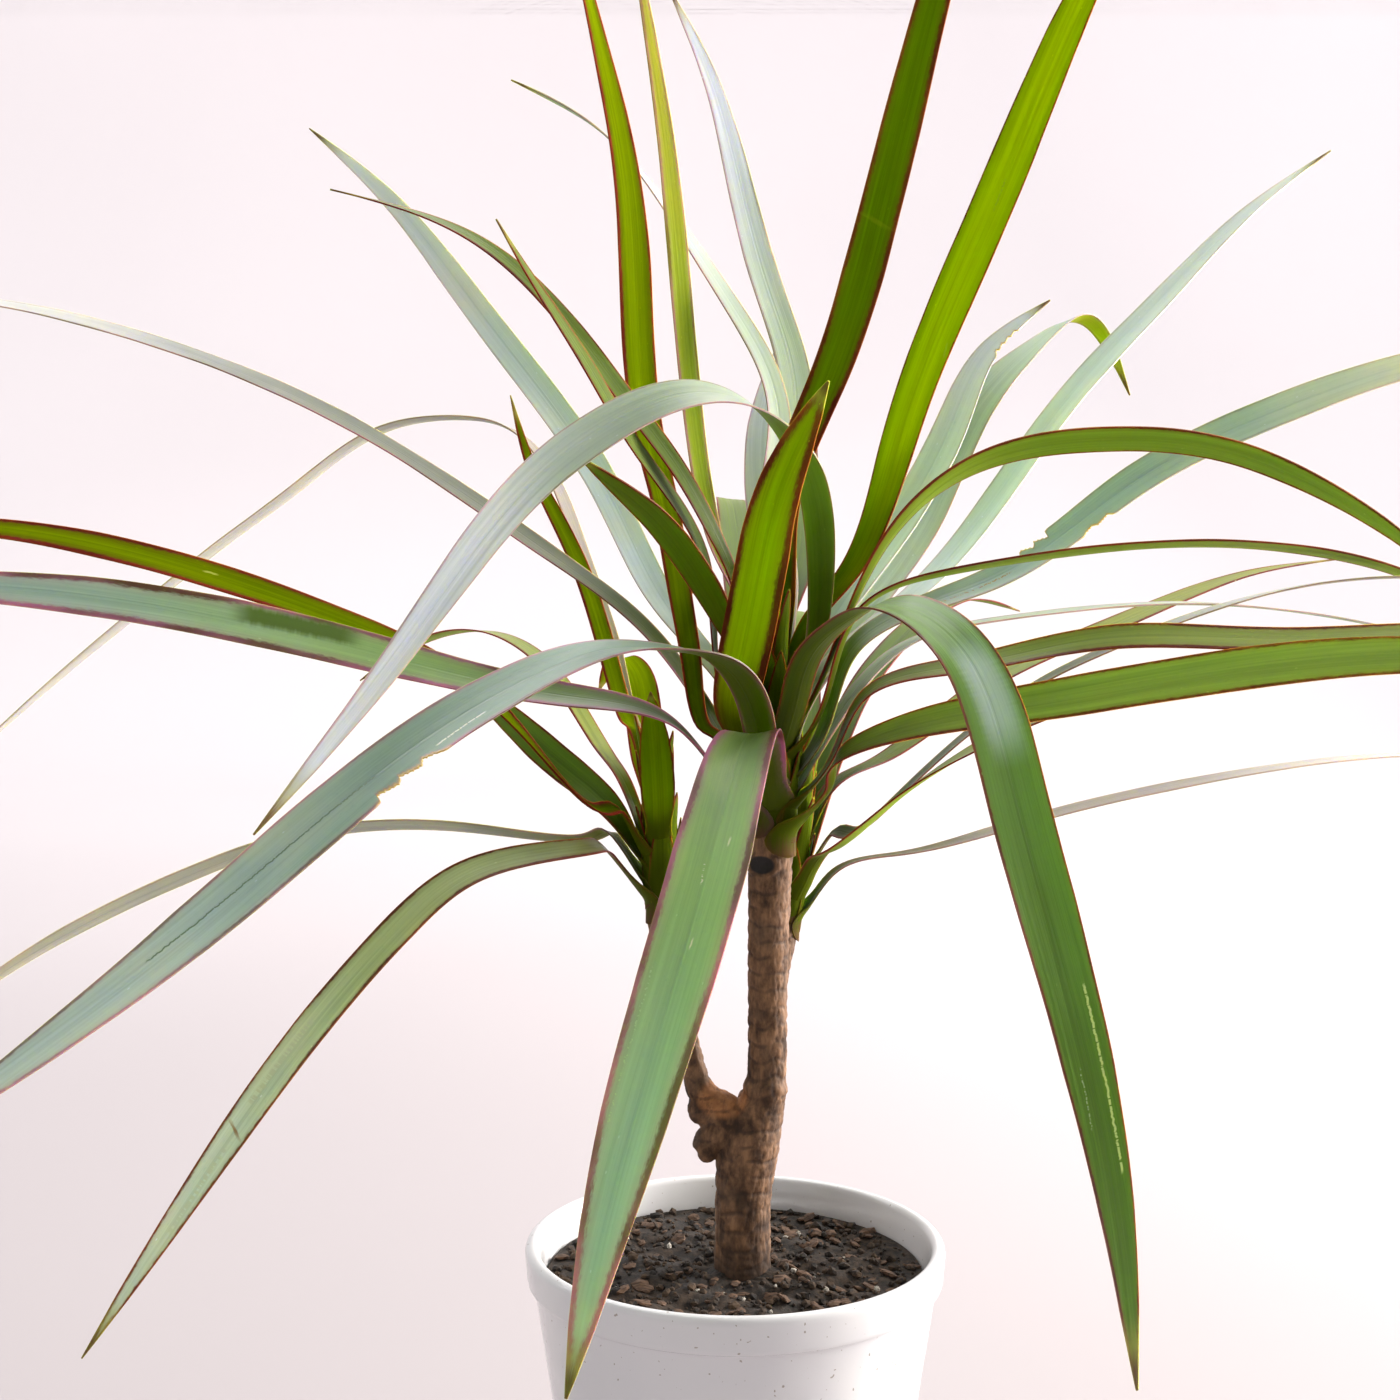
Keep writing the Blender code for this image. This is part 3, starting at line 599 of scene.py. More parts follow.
count = len(trunk.data.vertices)
places = np.empty(count * 3)
normals = np.empty(count * 3)
trunk.data.vertices.foreach_get("co", places)
trunk.data.vertices.foreach_get("normal", normals)
places, normals = places.reshape(-1, 3) / MM, normals.reshape(-1, 3)
best = np.full(count, np.inf)
travel = np.zeros(count)
around = np.zeros(count)
leafy = np.zeros(count)
for number, (crown, rows) in enumerate(stems.items()):
    route = distances_along(rows)
    for start in range(0, count, BLOCK):
        block = slice(start, start + BLOCK)
        gaps = np.linalg.norm(places[block, None] - rows[None, :, :3], axis=2) - rows[None, :, 3]
        near = np.argmin(gaps, axis=1)
        closer = gaps[np.arange(len(near)), near] < best[block]
        best[block] = np.where(closer, gaps[np.arange(len(near)), near], best[block])
        middle = rows[near]
        shift = places[block] - middle[:, :3]
        along = route[near] + shift[:, 2]
        travel[block] = np.where(closer, along + STEM_OFFSET * number, travel[block])
        angle = np.arctan2(shift[:, 1], shift[:, 0])
        around[block] = np.where(closer, angle, around[block])
        above = (places[block, 2] - CROWNS[crown]["foot"][2]) / 10.0
        leafy[block] = np.where(closer, above, leafy[block])


def wandering(columns, stretch, seed):
    """Smooth noise at each vertex, from its own measures."""
    return np.array([noise.noise((a * stretch[0], b * stretch[1], c * stretch[2] + seed))
                     for a, b, c in zip(*columns)])


sideways = (np.cos(around) * 3.0, np.sin(around) * 3.0, travel)
drift = wandering(sideways, (0.55, 0.55, 0.05), 5.0)
phase = (travel + 1.6 * drift + 0.7 * np.sin(around + 0.6 * travel / RING_PITCH)) / RING_PITCH
saw = phase - np.floor(phase)
ring = np.exp(-((saw - 0.5) / 0.14) ** 2)
patchy = np.clip(wandering(sideways, (0.7, 0.7, 0.16), 21.0) * 1.3 + 0.75, 0.25, 1.0)
flakes = wandering(sideways, (1.5, 1.5, 0.35), 40.0)
fine = wandering(sideways, (3.2, 3.2, 1.3), 60.0)
cracks = np.exp(-(wandering(sideways, (1.5, 1.5, 0.12), 90.0) / 0.05) ** 2)
lips = 0.5 * (saw - 0.5)
rise = (-RING_DEPTH * ring * patchy + LIP_HEIGHT * lips + FLAKE_HEIGHT * flakes + GRAIN_HEIGHT * fine
        - CRACK_DEPTH * cracks)
rise *= np.clip(1.0 - 0.6 * np.clip(leafy, 0.0, 1.0), 0.3, 1.0)
x, y, z, wide, tall = OVAL_SCAR
off = np.hypot(np.hypot(places[:, 0] - x, (places[:, 1] - y) * 0.6) / wide,
               (places[:, 2] - z) / tall)
off = np.where(places[:, 1] < 0.0, off, 9.0)
scar = np.clip(1.25 - off, 0.0, 1.0)
rise += SCAR_RIM * np.exp(-((off - 1.2) / 0.22) ** 2) - SCAR_DEPTH * np.clip(1.1 - off, 0.0, 1.0)
cut = np.linalg.norm(places - np.array(PRUNING_CUT), axis=1)
rise -= CUT_DEPTH * np.clip(1.0 - cut / 3.0, 0.0, 1.0)
from_fork = np.linalg.norm((places - np.array(FORK_CREST)) / FORK_REACH, axis=1)
fork = np.clip(1.0 - from_fork, 0.0, 1.0)
places += normals * rise[:, None]
trunk.data.vertices.foreach_set("co", (places * MM).ravel())
carry(trunk.data, {
    "ring": ring * patchy, "crack": cracks, "flake": flakes * 0.5 + 0.5, "leafy": leafy,
    "scar": scar, "fork": fork * 1.8, "cut": np.clip(1.2 - cut / 3.4, 0.0, 1.0),
})
trunk.data.polygons.foreach_set("use_smooth", [True] * len(trunk.data.polygons))
trunk.data.update()


bark, tree, shader, place = new_skin("cane_bark")
mottle = grain(tree, place, 130.0, 5.0, 0.62, (1.0, 1.0, 0.7))
fibre = grain(tree, place, 520.0, 4.0, 0.65, (1.0, 1.0, 0.35))
tan = blend_of(tree, span(tree, fibre, 0.3, 0.7), (0.140, 0.066, 0.029), (0.310, 0.160, 0.074))
brown = blend_of(tree, span(tree, fibre, 0.3, 0.7), (0.026, 0.011, 0.005), (0.070, 0.032, 0.014))
colour = blend_of(tree, span(tree, mottle, 0.36, 0.62), brown, tan)
ash = span(tree, grain(tree, place, 75.0, 3.0, 0.5, shift=(0.3, 0.1, 0.7)), 0.52, 0.68, 0.0, 0.45)
colour = blend_of(tree, ash, colour, (0.100, 0.060, 0.034))
russet = span(tree, measure(tree, "fork"), 0.08, 0.6, 0.0, 0.85)
rust = blend_of(tree, fibre, (0.190, 0.068, 0.022), (0.620, 0.270, 0.100))
colour = blend_of(tree, russet, colour, rust)
colour = blend_of(tree, span(tree, measure(tree, "flake"), 0.45, 0.85, 0.0, 0.5), colour, tan)
dark_rings = sum_of(tree, "MULTIPLY", span(tree, measure(tree, "ring"), 0.15, 0.9), 0.55)
colour = blend_of(tree, dark_rings, colour, (0.036, 0.017, 0.009))
dark_cracks = sum_of(tree, "MULTIPLY", measure(tree, "crack"), 0.35)
colour = blend_of(tree, dark_cracks, colour, (0.03, 0.018, 0.012))
# The bark darkens towards the soil, below a height that the mottle makes uneven.
darkening = sum_of(tree, "MULTIPLY_ADD", mottle, 8.0 * MM, axis_of(tree, place, "Z"))
darker_near_soil = span(tree, darkening, (SOIL_TOP + 5.0) * MM, (SOIL_TOP + 17.0) * MM, 0.6, 0.0)
colour = blend_of(tree, darker_near_soil, colour, (0.030, 0.018, 0.011))
green_line = sum_of(tree, "MULTIPLY_ADD", grain(tree, place, 160.0, 3.0), 1.0, measure(tree, "leafy"))
green = blend_of(tree, fibre, (0.030, 0.040, 0.004), (0.080, 0.090, 0.012))
colour = blend_of(tree, span(tree, green_line, 0.30, 1.05), colour, green)
colour = blend_of(tree, span(tree, measure(tree, "scar"), 0.12, 0.4), colour, (0.012, 0.008, 0.007))
old_cut = span(tree, measure(tree, "cut"), 0.15, 0.5, 0.0, 0.7)
colour = blend_of(tree, old_cut, colour, (0.055, 0.032, 0.020))
coarse = relief(tree, mottle, 0.35)
woven = relief(tree, fibre, 0.16, 1.0, coarse)
dress(tree, shader, colour, span(tree, mottle, 0.3, 0.7, 0.90, 0.66), woven)
trunk.data.materials.append(bark)
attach(trunk, "root")
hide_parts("trunk")


# The leaves. Each is one leathery strap that clasps its stem with a broad sheath, runs up in a
# shallow channel, then arches over. Both edges are red, veins run its whole length, and tips dry.
CAD_BLADE = 0.72
SEAT_GAP = 0.35
STRAIGHT_FOOT = 16.0
LEAN_LOW = 40.0
LEAN_HIGH = 14.0
CHANNEL_FOOT = 16.0
CHANNEL_REST = 6.0
BLADE = 0.60
MARGIN_SHARE = 0.75
TIP_FULLNESS = 0.55
ROW_STEP = 2.1
TORN_STEP = 0.45
SHEATH = 8.0
SHEATH_STEP = 0.9
SHEATH_ROUND = 5.0
CLASP_END = 9.0
CLASP_SHARE = 2.1
CHART_UNIT = 10.0
WRAP_END = 15.0
ROUNDNESS = 5.0
WOBBLE = 1.2
RUFFLE = 0.14
RIPPLE = 0.05
LANES = (-1.0, -0.95, -0.84, -0.66, -0.46, -0.26, -0.10, 0.0, 0.10, 0.26, 0.46, 0.66, 0.84, 0.95, 1.0)

# Blade width from foot (0) to tip (1), as a share of the leaf's full width.
WIDTH_SHARES = [
    (0.0, 0.62), (0.05, 0.60), (0.12, 0.70), (0.25, 0.89), (0.42, 1.0), (0.58, 0.97),
    (0.72, 0.82), (0.84, 0.58), (0.93, 0.32), (0.98, 0.12), (1.0, 0.035),
]

# The same for leaves whose foot is nearly as broad as the blade.
BROAD_SHARES = [
    (0.0, 0.84), (0.12, 0.90), (0.25, 0.97), (0.42, 1.0), (0.58, 0.97),
    (0.72, 0.82), (0.84, 0.58), (0.93, 0.32), (0.98, 0.12), (1.0, 0.035),
]
BROAD_LEAVES = ("main_05", "main_08")

# Each leaf: its crown and number, height of its foot above the crown's foot, compass heading of
# its foot (0 is right, 90 is away from the viewer), full width, twist in degrees at its middle and
# tip, and the points that its midrib passes through.
LEAVES = [
    # leaves of the main crown, at the top of the upright stem
    ("main_01", 8, 262, 19.5, 0, -6,
     [(3, -42, 259), (-6, -84, 238), (-16, -112, 208), (-29, -124, 165), (-40, -126, 118)]),
    ("main_02", 23, 296, 16, 24, 20,
     [(17, -15, 269), (20, -23, 279), (28, -34, 288), (38, -50, 293), (55, -75, 281),
      (65, -88, 249), (77, -94, 204), (88, -96, 156), (95, -94, 106)]),
    ("main_03", 12, 258, 16.5, -50, -48,
     [(4, -23, 265), (-4, -35, 277), (-15, -44, 281), (-32, -54, 282), (-47, -67, 278),
      (-80, -94, 259), (-120, -124, 225), (-158, -146, 196), (-183, -158, 178)]),
    ("main_04", 33, 330, 10.5, -145, -178,
     [(23, -13, 304), (18, -26, 329), (5, -42, 343), (-12, -58, 346), (-34, -76, 336),
      (-52, -92, 320), (-68, -108, 298), (-83, -120, 276), (-105, -138, 247)]),
    ("main_05", 18, 224, 17, 0, 0,
     [(-1, -14, 267), (3, -23, 288), (7, -32, 310), (11, -42, 325), (22, -58, 349)]),
    ("main_06", 49, 66, 12.5, 0, 0,
     [(14, 4, 321), (27, 8, 357), (41, 14, 403), (57, 22, 465), (76, 34, 533)]),
    ("main_07", 41, 25, 13, 45, 30,
     [(33, 8, 301), (49, 16, 344), (74, 26, 405), (101, 38, 467), (135, 52, 528)]),
    ("main_08", 13, 175.5, 12.5, -34, -2,
     [(-9, 2, 256), (-13, 4, 273), (-16, 7, 293), (-20, 10, 318), (-26, 12, 346), (-30, 18, 404),
      (-39, 24, 452), (-52, 34, 505)]),
    ("main_09", 45, 130, 8, 0, 0,
     [(-5, 30, 308), (-12, 38, 345), (-18, 50, 409), (-24, 60, 455), (-32, 72, 503)]),
    ("main_10", 53, 130, 9, 0, 40,
     [(13, 30, 345), (0, 48, 379), (-19, 66, 410), (-42, 84, 439), (-71, 100, 458)]),
    ("main_11", 37.5, 115, 12, 0, 0,
     [(20, 70, 353), (13, 92, 387), (5, 112, 419), (-5, 134, 462), (-21, 160, 503)]),
    ("main_12", 34, 80, 14, 0, 0,
     [(13, 60, 304), (11, 100, 343), (21, 140, 384)]),
    ("main_13", 19, 120, 11, -20, -30,
     [(-20, 50, 289), (-42, 86, 329), (-81, 120, 382), (-117, 150, 427), (-151, 176, 458)]),
    ("main_14", 41, 176, 9, -32, -4,
     [(0, 0, 293), (-6, 0, 311), (-16, 1, 329), (-30, 3, 348), (-42, 4, 364), (-57, 5, 381),
      (-74, 6, 394), (-96, 9, 403), (-114, 12, 408)]),
    ("main_15", 24, 178, 10, -15, -15,
     [(-9, 2, 304), (-27, -4, 334), (-40, -8, 356), (-56, -10, 381), (-65, -12, 396)]),
    ("main_16", 10, 138, 11, 4, -6,
     [(-23, 20, 281), (-51, 34, 303), (-112, 60, 342), (-176, 84, 370), (-240, 104, 387),
      (-296, 122, 390), (-349, 140, 379)]),
    ("main_17", 6, 195, 13, -45, -60,
     [(-19, -10, 260), (-48, -24, 268), (-93, -44, 280), (-139, -62, 292), (-180, -74, 298),
      (-207, -84, 298), (-232, -92, 293)]),
    ("main_18", 37, 211, 10.5, 25, 25,
     [(-4, -11, 288), (-10, -19, 299), (-21, -24, 314), (-31, -34, 323), (-41, -43, 331)]),
    ("main_19", 14, 20, 11, 48, 48,
     [(33, 10, 278), (74, 20, 298), (117, 34, 326), (165, 48, 349), (211, 60, 364), (259, 72, 369),
      (303, 84, 361)]),
    ("main_20", 26.5, 350, 10, -20, -4,
     [(40, -8, 307), (68, 0, 331), (109, 10, 338), (146, 20, 334), (197, 32, 310), (224, 40, 289)]),
    ("main_21", 20.5, 345, 10, 0, 0,
     [(34, -10, 290), (56, -8, 300), (105, 2, 307), (149, 10, 308), (193, 20, 300),
      (231, 28, 283)]),
    ("main_22", 23.5, 42, 10, 20, 20,
     [(61, 56, 298), (107, 96, 352), (146, 126, 391), (180, 150, 423), (216, 170, 449)]),
    ("main_23", 29.5, 44, 12, 20, 30,
     [(46, 36, 310), (67, 60, 344), (80, 78, 368), (103, 94, 387)]),
    ("main_24", 16, 66, 14, 30, -78,
     [(61, 90, 316), (83, 124, 354), (110, 152, 380), (129, 168, 389), (148, 182, 363)]),
    ("main_25", 7, 358, 11, 25, 10,
     [(36, -2, 266), (63, -8, 275), (102, -16, 283), (146, -24, 283), (183, -32, 285),
      (215, -38, 281), (244, -44, 268)]),
    ("main_26", 1, 335, 11.5, 50, 50,
     [(27, -16, 249), (43, -28, 259), (78, -46, 268), (115, -62, 276), (158, -80, 282),
      (192, -92, 279), (219, -100, 266)]),
    ("main_27", 10, 30, 10, 10, 10,
     [(50, 40, 277), (83, 60, 285), (152, 90, 289), (228, 120, 279), (272, 136, 268)]),
    ("main_28", 26, 94, 12, 0, 0,
     [(21, 70, 304), (25, 130, 330), (30, 200, 351), (35, 260, 343)]),
    ("main_29", 12, 100, 13, 0, 0,
     [(4, 60, 285), (3, 120, 310), (1, 190, 325), (-1, 260, 314)]),
    # leaves of the left crown, on the branch beside it
    ("left_01", 16, 200, 12, -40, -40,
     [(-38, 4, 233), (-64, -8, 261), (-95, -20, 283), (-129, -32, 297), (-164, -44, 308),
      (-201, -56, 313), (-232, -66, 308)]),
    ("left_02", 4, 195, 9.5, -5, -40,
     [(-42, -6, 224), (-70, -24, 221), (-89, -38, 208), (-112, -56, 182), (-136, -76, 148),
      (-159, -92, 113)]),
    ("left_03", 8, 165, 9, 0, 0,
     [(-43, 32, 221), (-77, 42, 222), (-122, 56, 220), (-169, 70, 205), (-241, 90, 167),
      (-283, 102, 135)]),
    ("left_04", 13, 160, 10, -70, -60,
     [(-47, 30, 240), (-58, 38, 248), (-71, 48, 258), (-86, 57, 268)]),
    ("left_05", 25, 104, 8, 56, 40,
     [(-32, 56, 256), (-37, 70, 275), (-47, 84, 303), (-56, 94, 326), (-67, 102, 342),
      (-77, 106, 348), (-93, 108, 350), (-117, 112, 346), (-147, 116, 326), (-171, 118, 309),
      (-198, 120, 288), (-223, 121, 268), (-269, 124, 228), (-291, 126, 206)]),
    ("left_06", 34, 128, 7, 0, 0,
     [(-32, 44, 255), (-39, 58, 276), (-49, 72, 304), (-59, 82, 323), (-65, 90, 335),
      (-72, 100, 357)]),
    ("left_07", 20, 270, 10, 0, 0,
     [(-24, 4, 267)]),
    ("left_08", 7, 88, 12, 0, 0,
     [(-26, 60, 241), (-30, 110, 260), (-39, 160, 267), (-49, 210, 252)]),
    ("left_09", 18.5, 135, 8, 0, 0,
     [(-41, 58, 246), (-62, 90, 271), (-96, 130, 278), (-136, 180, 258)]),
    # leaves of the rear crown, on the stem behind it
    ("rear_01", 14, 355, 10, 0, -16,
     [(35, 34, 222), (53, 32, 237), (87, 26, 266), (112, 22, 279), (149, 18, 293), (187, 12, 299),
      (217, 8, 298)]),
    ("rear_02", 2, 15, 8, 15, 0,
     [(52, 58, 212), (72, 66, 215), (110, 82, 223), (156, 100, 230), (231, 124, 236),
      (282, 140, 231)]),
    ("rear_03", 8, 305, 12, 30, 30,
     [(30, 18, 220), (47, 8, 236), (71, -6, 254), (98, -22, 267), (134, -38, 271)]),
    ("rear_04", 24, 30, 10, 20, 10,
     [(47, 70, 240), (82, 96, 261), (127, 124, 279), (182, 154, 297), (225, 176, 303)]),
    ("rear_05", 9, 62, 11, 0, 0,
     [(38, 96, 251), (60, 140, 275), (89, 200, 287), (121, 260, 281)]),
    ("rear_06", 18, 95, 12, 0, 0,
     [(23, 90, 245), (25, 140, 271), (26, 200, 283), (27, 260, 273)]),
    ("rear_07", 36, 140, 11, 0, 0,
     [(12, 70, 247), (3, 110, 276), (-10, 160, 292), (-29, 220, 287)]),
]

# Which greens a leaf has, which hold painted light and shade as well as its own colour, and how wide its
# red edge is in millimetres.
LEAF_GREENS = {
    "grass": "main_01 main_17",
    "sage": "main_03",
    "deep": "main_02",
    "silver": "main_04 main_11 main_12 main_10 main_27",
    "frost": "main_13 main_22 main_23",
    "ivory": "main_19",
    "haze": "rear_02 left_03 left_05",
    "smoke": "main_16 rear_01",
    "lime": "main_06 main_08 left_01 left_07 left_08 left_06",
    "bright": "main_07",
    "flame": "main_05",
    "straw": "main_09",
    "curled": "main_24",
    "olive": "main_20 main_21 main_25 main_26 rear_03 rear_04 left_09",
    "moss": "left_02",
    "dusk": "main_14 main_15 main_18 main_28 main_29 left_04 rear_05 rear_06 rear_07",
}
RED_EDGES = {
    "main_01": 1.7, "main_02": 0.6, "main_03": 0.8, "main_04": 0.35, "main_05": 2.2,
    "main_06": 1.4, "main_07": 0.45, "main_08": 1.0, "main_09": 0.9, "main_17": 1.5,
    "left_01": 1.4, "left_02": 0.8, "main_25": 1.2, "main_26": 0.8, "main_20": 0.7,
    "main_16": 0.5, "main_13": 0.4,
}
USUAL_RED_EDGE = 0.6

# Stretches of edge that are torn: leaf, side, where they start and end along it, how deep they
# cut as a share of the half width, and how many teeth the tear has.
TEARS = {
    "main_03": [(1, 143.0, 164.0, 0.34, 3)],
    "main_19": [(1, 96.0, 112.0, 0.5, 3), (-1, 118.0, 130.0, 0.3, 2)],
    "main_23": [(-1, 150.0, 165.0, 0.4, 4)],
}


def foot_of_leaf(crown, level, heading):
    """Where a leaf leaves its stem, and in which direction."""
    angle = math.radians(heading)
    out = np.array([math.cos(angle), math.sin(angle), 0.0])
    share = min(level / CROWNS[crown]["height"], 1.0)
    lean = math.radians(LEAN_LOW + (LEAN_HIGH - LEAN_LOW) * share)
    direction = out * math.sin(lean) + np.array([0.0, 0.0, math.cos(lean)])
    channel = math.cos(math.radians(CHANNEL_FOOT + CHANNEL_REST))
    seat = (crown_radius(crown, level) + SEAT_GAP + CAD_BLADE / 2) / channel
    return crown_axis(crown, level) + out * seat, direction, out


def turn_towards(side, tangent):
    """Carry the across direction along the midrib without any twist of its own."""
    side = side - tangent * np.dot(side, tangent)
    return side / np.linalg.norm(side)


def twist_at(share, middle, tip):
    """A smooth twist through the given angles at the middle and the tip."""
    return (4 * middle - tip) * share + (2 * tip - 4 * middle) * share ** 2


def sheath_rows(crown, level, foot, direction, out):
    """The sheath of the leaf, which hugs the stem just under the place where it bends away."""
    low = level - SHEATH
    start = crown_axis(crown, low) + out * (crown_radius(crown, low) + 0.1)
    up = np.array([0.0, 0.0, 1.0])
    rows, along = [], []
    for t in np.arange(0.0, 0.999, SHEATH_STEP / SHEATH):
        rows.append((2 * t ** 3 - 3 * t ** 2 + 1) * start + (3 * t ** 2 - 2 * t ** 3) * foot
                    + SHEATH * ((t ** 3 - 2 * t ** 2 + t) * up + (t ** 3 - t ** 2) * direction))
        tangent = (6 * t ** 2 - 6 * t) * (start - foot) + SHEATH * (
            (3 * t ** 2 - 4 * t + 1) * up + (3 * t ** 2 - 2 * t) * direction)
        along.append(tangent / np.linalg.norm(tangent))
    return np.array(rows), np.array(along)


def lay_chart(mesh, flats):
    """Give each vertex its place on the flat blade, from millimetres across and along."""
    chart = mesh.uv_layers[0]
    chart.name = "blade"
    vertex_of = np.empty(len(mesh.loops), int)
    mesh.loops.foreach_get("vertex_index", vertex_of)
    flat = np.array(flats)[vertex_of] / CHART_UNIT
    chart.data.foreach_set("uv", flat.ravel().astype(np.float32))


def leaf_rows(crown, level, heading, route, tears):
    """Rows along the whole leaf: places, directions, across directions, distances and length."""
    foot, direction, out = foot_of_leaf(crown, level, heading)
    curve = smooth_route(
        [foot, foot + direction * STRAIGHT_FOOT] + [np.array(p, float) for p in route], direction)
    travelled = distances_along(curve)
    length = travelled[-1]
    tangents = np.gradient(curve, travelled, axis=0)
    wanted = np.linspace(0.0, length, math.ceil(length / ROW_STEP) + 1)
    for _, start, end, _, _ in tears:
        wanted = np.concatenate([wanted[(wanted < start) | (wanted > end)],
                                 np.arange(start, end, TORN_STEP)])
    wanted = np.unique(wanted)
    rows = at_distances(curve, travelled, wanted)
    along = at_distances(tangents, travelled, wanted)
    along /= np.linalg.norm(along, axis=1)[:, None]
    along[0] = direction
    low_rows, low_along = sheath_rows(crown, level, foot, direction, out)
    low_wanted = -SHEATH + SHEATH_STEP * np.arange(len(low_rows))
    rows, along = np.vstack([low_rows, rows]), np.vstack([low_along, along])
    side = np.array([-out[1], out[0], 0.0])
    sides = []
    for tangent in along:
        side = turn_towards(side, tangent)
        sides.append(side)
    return rows, along, np.array(sides), np.concatenate([low_wanted, wanted]), length


def half_widths(half, along_mm, crown, level, tears, side, rng):
    """Half the blade's width at each row on one side, with its small unevenness and its tears."""
    clasp = CLASP_SHARE * crown_radius(crown, level)
    low = np.clip((CLASP_END - along_mm) / (CLASP_END + SHEATH), 0.0, 1.0)
    half = half + (np.maximum(clasp, half) - half) * low ** 1.5
    half = half * np.sqrt(np.clip((along_mm + SHEATH + 0.2) / SHEATH_ROUND, 0.0, 1.0))
    half = half * (1.0 + 0.008 * np.sin(along_mm / 11.0 + 6.0 * rng.random())
                   + 0.004 * np.sin(along_mm / 4.3 + 6.0 * rng.random()))
    torn = np.zeros(len(along_mm))
    for tear_side, start, end, depth, teeth in tears:
        if tear_side != side:
            continue
        t = (along_mm - start) / (end - start)
        inside = (t > 0.0) & (t < 1.0)
        tooth = (t * teeth) % 1.0
        bite = np.where(tooth < 0.8, tooth / 0.8, (1.0 - tooth) / 0.2) ** 1.3
        bite = 0.35 + 0.65 * bite + 0.10 * np.sin(along_mm * 5.1)
        ends = np.clip(t / 0.12, 0.0, 1.0) * np.clip((1.0 - t) / 0.05, 0.0, 1.0)
        half = np.where(inside, half * (1.0 - depth * bite * ends), half)
        torn = np.maximum(torn, np.clip(1.0 - np.abs(t - 0.5) / 0.62, 0.0, 1.0) ** 0.25
                          * (np.abs(t - 0.5) < 0.6))
    return half, torn


def ruffled(along_mm, long_wave, short_wave, rng):
    """The gentle waves of one edge of the blade."""
    return (RUFFLE * np.sin(along_mm / long_wave + 6.0 * rng.random())
            + RIPPLE * np.sin(along_mm / short_wave + 6.0 * rng.random()))


def build_leaf(leaf, faces):
    """Lay a grid along the midrib, shape it across, and give it its thickness and its two skins."""
    short, level, heading, width, middle_twist, tip_twist, route = leaf
    crown = short[:4]
    rng = random.Random("leaf_" + short)
    tears = TEARS.get(short, [])
    rows, along, sides, along_mm, length = leaf_rows(crown, level, heading, route, tears)
    uppers = np.cross(along, sides)
    share = np.clip(along_mm / length, 0.0, 1.0)
    body = np.clip(along_mm / 30.0, 0.0, 1.0) * np.clip((1.0 - share) / 0.08, 0.0, 1.0)
    wobble = WOBBLE * body * np.sin(along_mm / 23.0 + 6.0 * rng.random())
    twist = np.radians(twist_at(share, middle_twist, tip_twist) + wobble)[:, None]
    side = sides * np.cos(twist) + uppers * np.sin(twist)
    upper = uppers * np.cos(twist) - sides * np.sin(twist)
    fold = np.radians(CHANNEL_REST + CHANNEL_FOOT * np.exp(-share / 0.2))
    wrap = np.clip((WRAP_END - along_mm) / WRAP_END, 0.0, 1.0) ** 1.5
    wrap_radius = crown_radius(crown, level) + 0.9
    profile = BROAD_SHARES if short in BROAD_LEAVES else WIDTH_SHARES
    middles = width * np.interp(share, *zip(*profile)) / 2.0
    right, right_torn = half_widths(middles, along_mm, crown, level, tears, 1, rng)
    left, left_torn = half_widths(middles, along_mm, crown, level, tears, -1, rng)
    ruffle_right = body * ruffled(along_mm, 13.0, 5.6, rng)
    ruffle_left = body * ruffled(along_mm, 14.5, 6.1, rng)

    lanes = np.array(LANES)[None, :]
    half = np.where(lanes > 0.0, right[:, None], left[:, None])
    off = lanes * half
    ruffle = np.where(lanes > 0.0, ruffle_right[:, None], ruffle_left[:, None])
    ruffle = ruffle * np.abs(lanes) ** 3 * (half / 6.0)
    lift = (np.sqrt(off ** 2 + ROUNDNESS) - math.sqrt(ROUNDNESS)) * np.sin(fold)[:, None] + ruffle
    lift = lift + 0.03 * np.cos(off * 2.4) * body[:, None]
    reach = off * np.cos(fold)[:, None]
    bent = off / wrap_radius
    reach = reach + (wrap_radius * np.sin(bent) - reach) * wrap[:, None]
    lift = lift + (wrap_radius * (1.0 - np.cos(bent)) - lift) * wrap[:, None]
    places = rows[:, None] + side[:, None] * reach[..., None] + upper[:, None] * lift[..., None]

    last, cells = len(rows) - 1, len(LANES) - 1
    bpy.ops.mesh.primitive_grid_add(x_subdivisions=last, y_subdivisions=cells, size=2.0)
    blade = bpy.context.object
    mesh = blade.data
    count = len(mesh.vertices)
    corners = np.empty(count * 3)
    mesh.vertices.foreach_get("co", corners)
    corners = corners.reshape(-1, 3)
    row = np.rint((corners[:, 0] + 1.0) / 2.0 * last).astype(int)
    lane = np.rint((corners[:, 1] + 1.0) / 2.0 * cells).astype(int)
    mesh.vertices.foreach_set("co", (places[row, lane] * MM).ravel())

    torn = np.where(lanes > 0.0, right_torn[:, None], left_torn[:, None]) * np.abs(lanes) ** 6
    carry(mesh, {
        "edge_mm": (half * (1.0 - np.abs(lanes)))[row, lane],
        "share": share[row],
        "torn": torn[row, lane],
        "own": np.full(count, rng.random()),
    })
    lay_chart(mesh, np.stack([off[row, lane], along_mm[row]], axis=1))

    body_of_blade = blade.vertex_groups.new(name="thick")
    for number, lane_place in enumerate(LANES):
        for near_tip, fullness in ((False, 1.0), (True, TIP_FULLNESS)):
            chosen = np.flatnonzero((lane == number) & ((share[row] > 0.9) == near_tip))
            weight = (1.0 - abs(lane_place) ** 1.6) * fullness
            body_of_blade.add([int(k) for k in chosen], weight, "REPLACE")
    blade.name = f"leaf_{short}_blade"
    for skin in faces:
        mesh.materials.append(skin)
    thicken(blade, BLADE, "thick", MARGIN_SHARE)
    blade.vertex_groups.clear()
    smooth_below(blade, 50.0)
    return blade
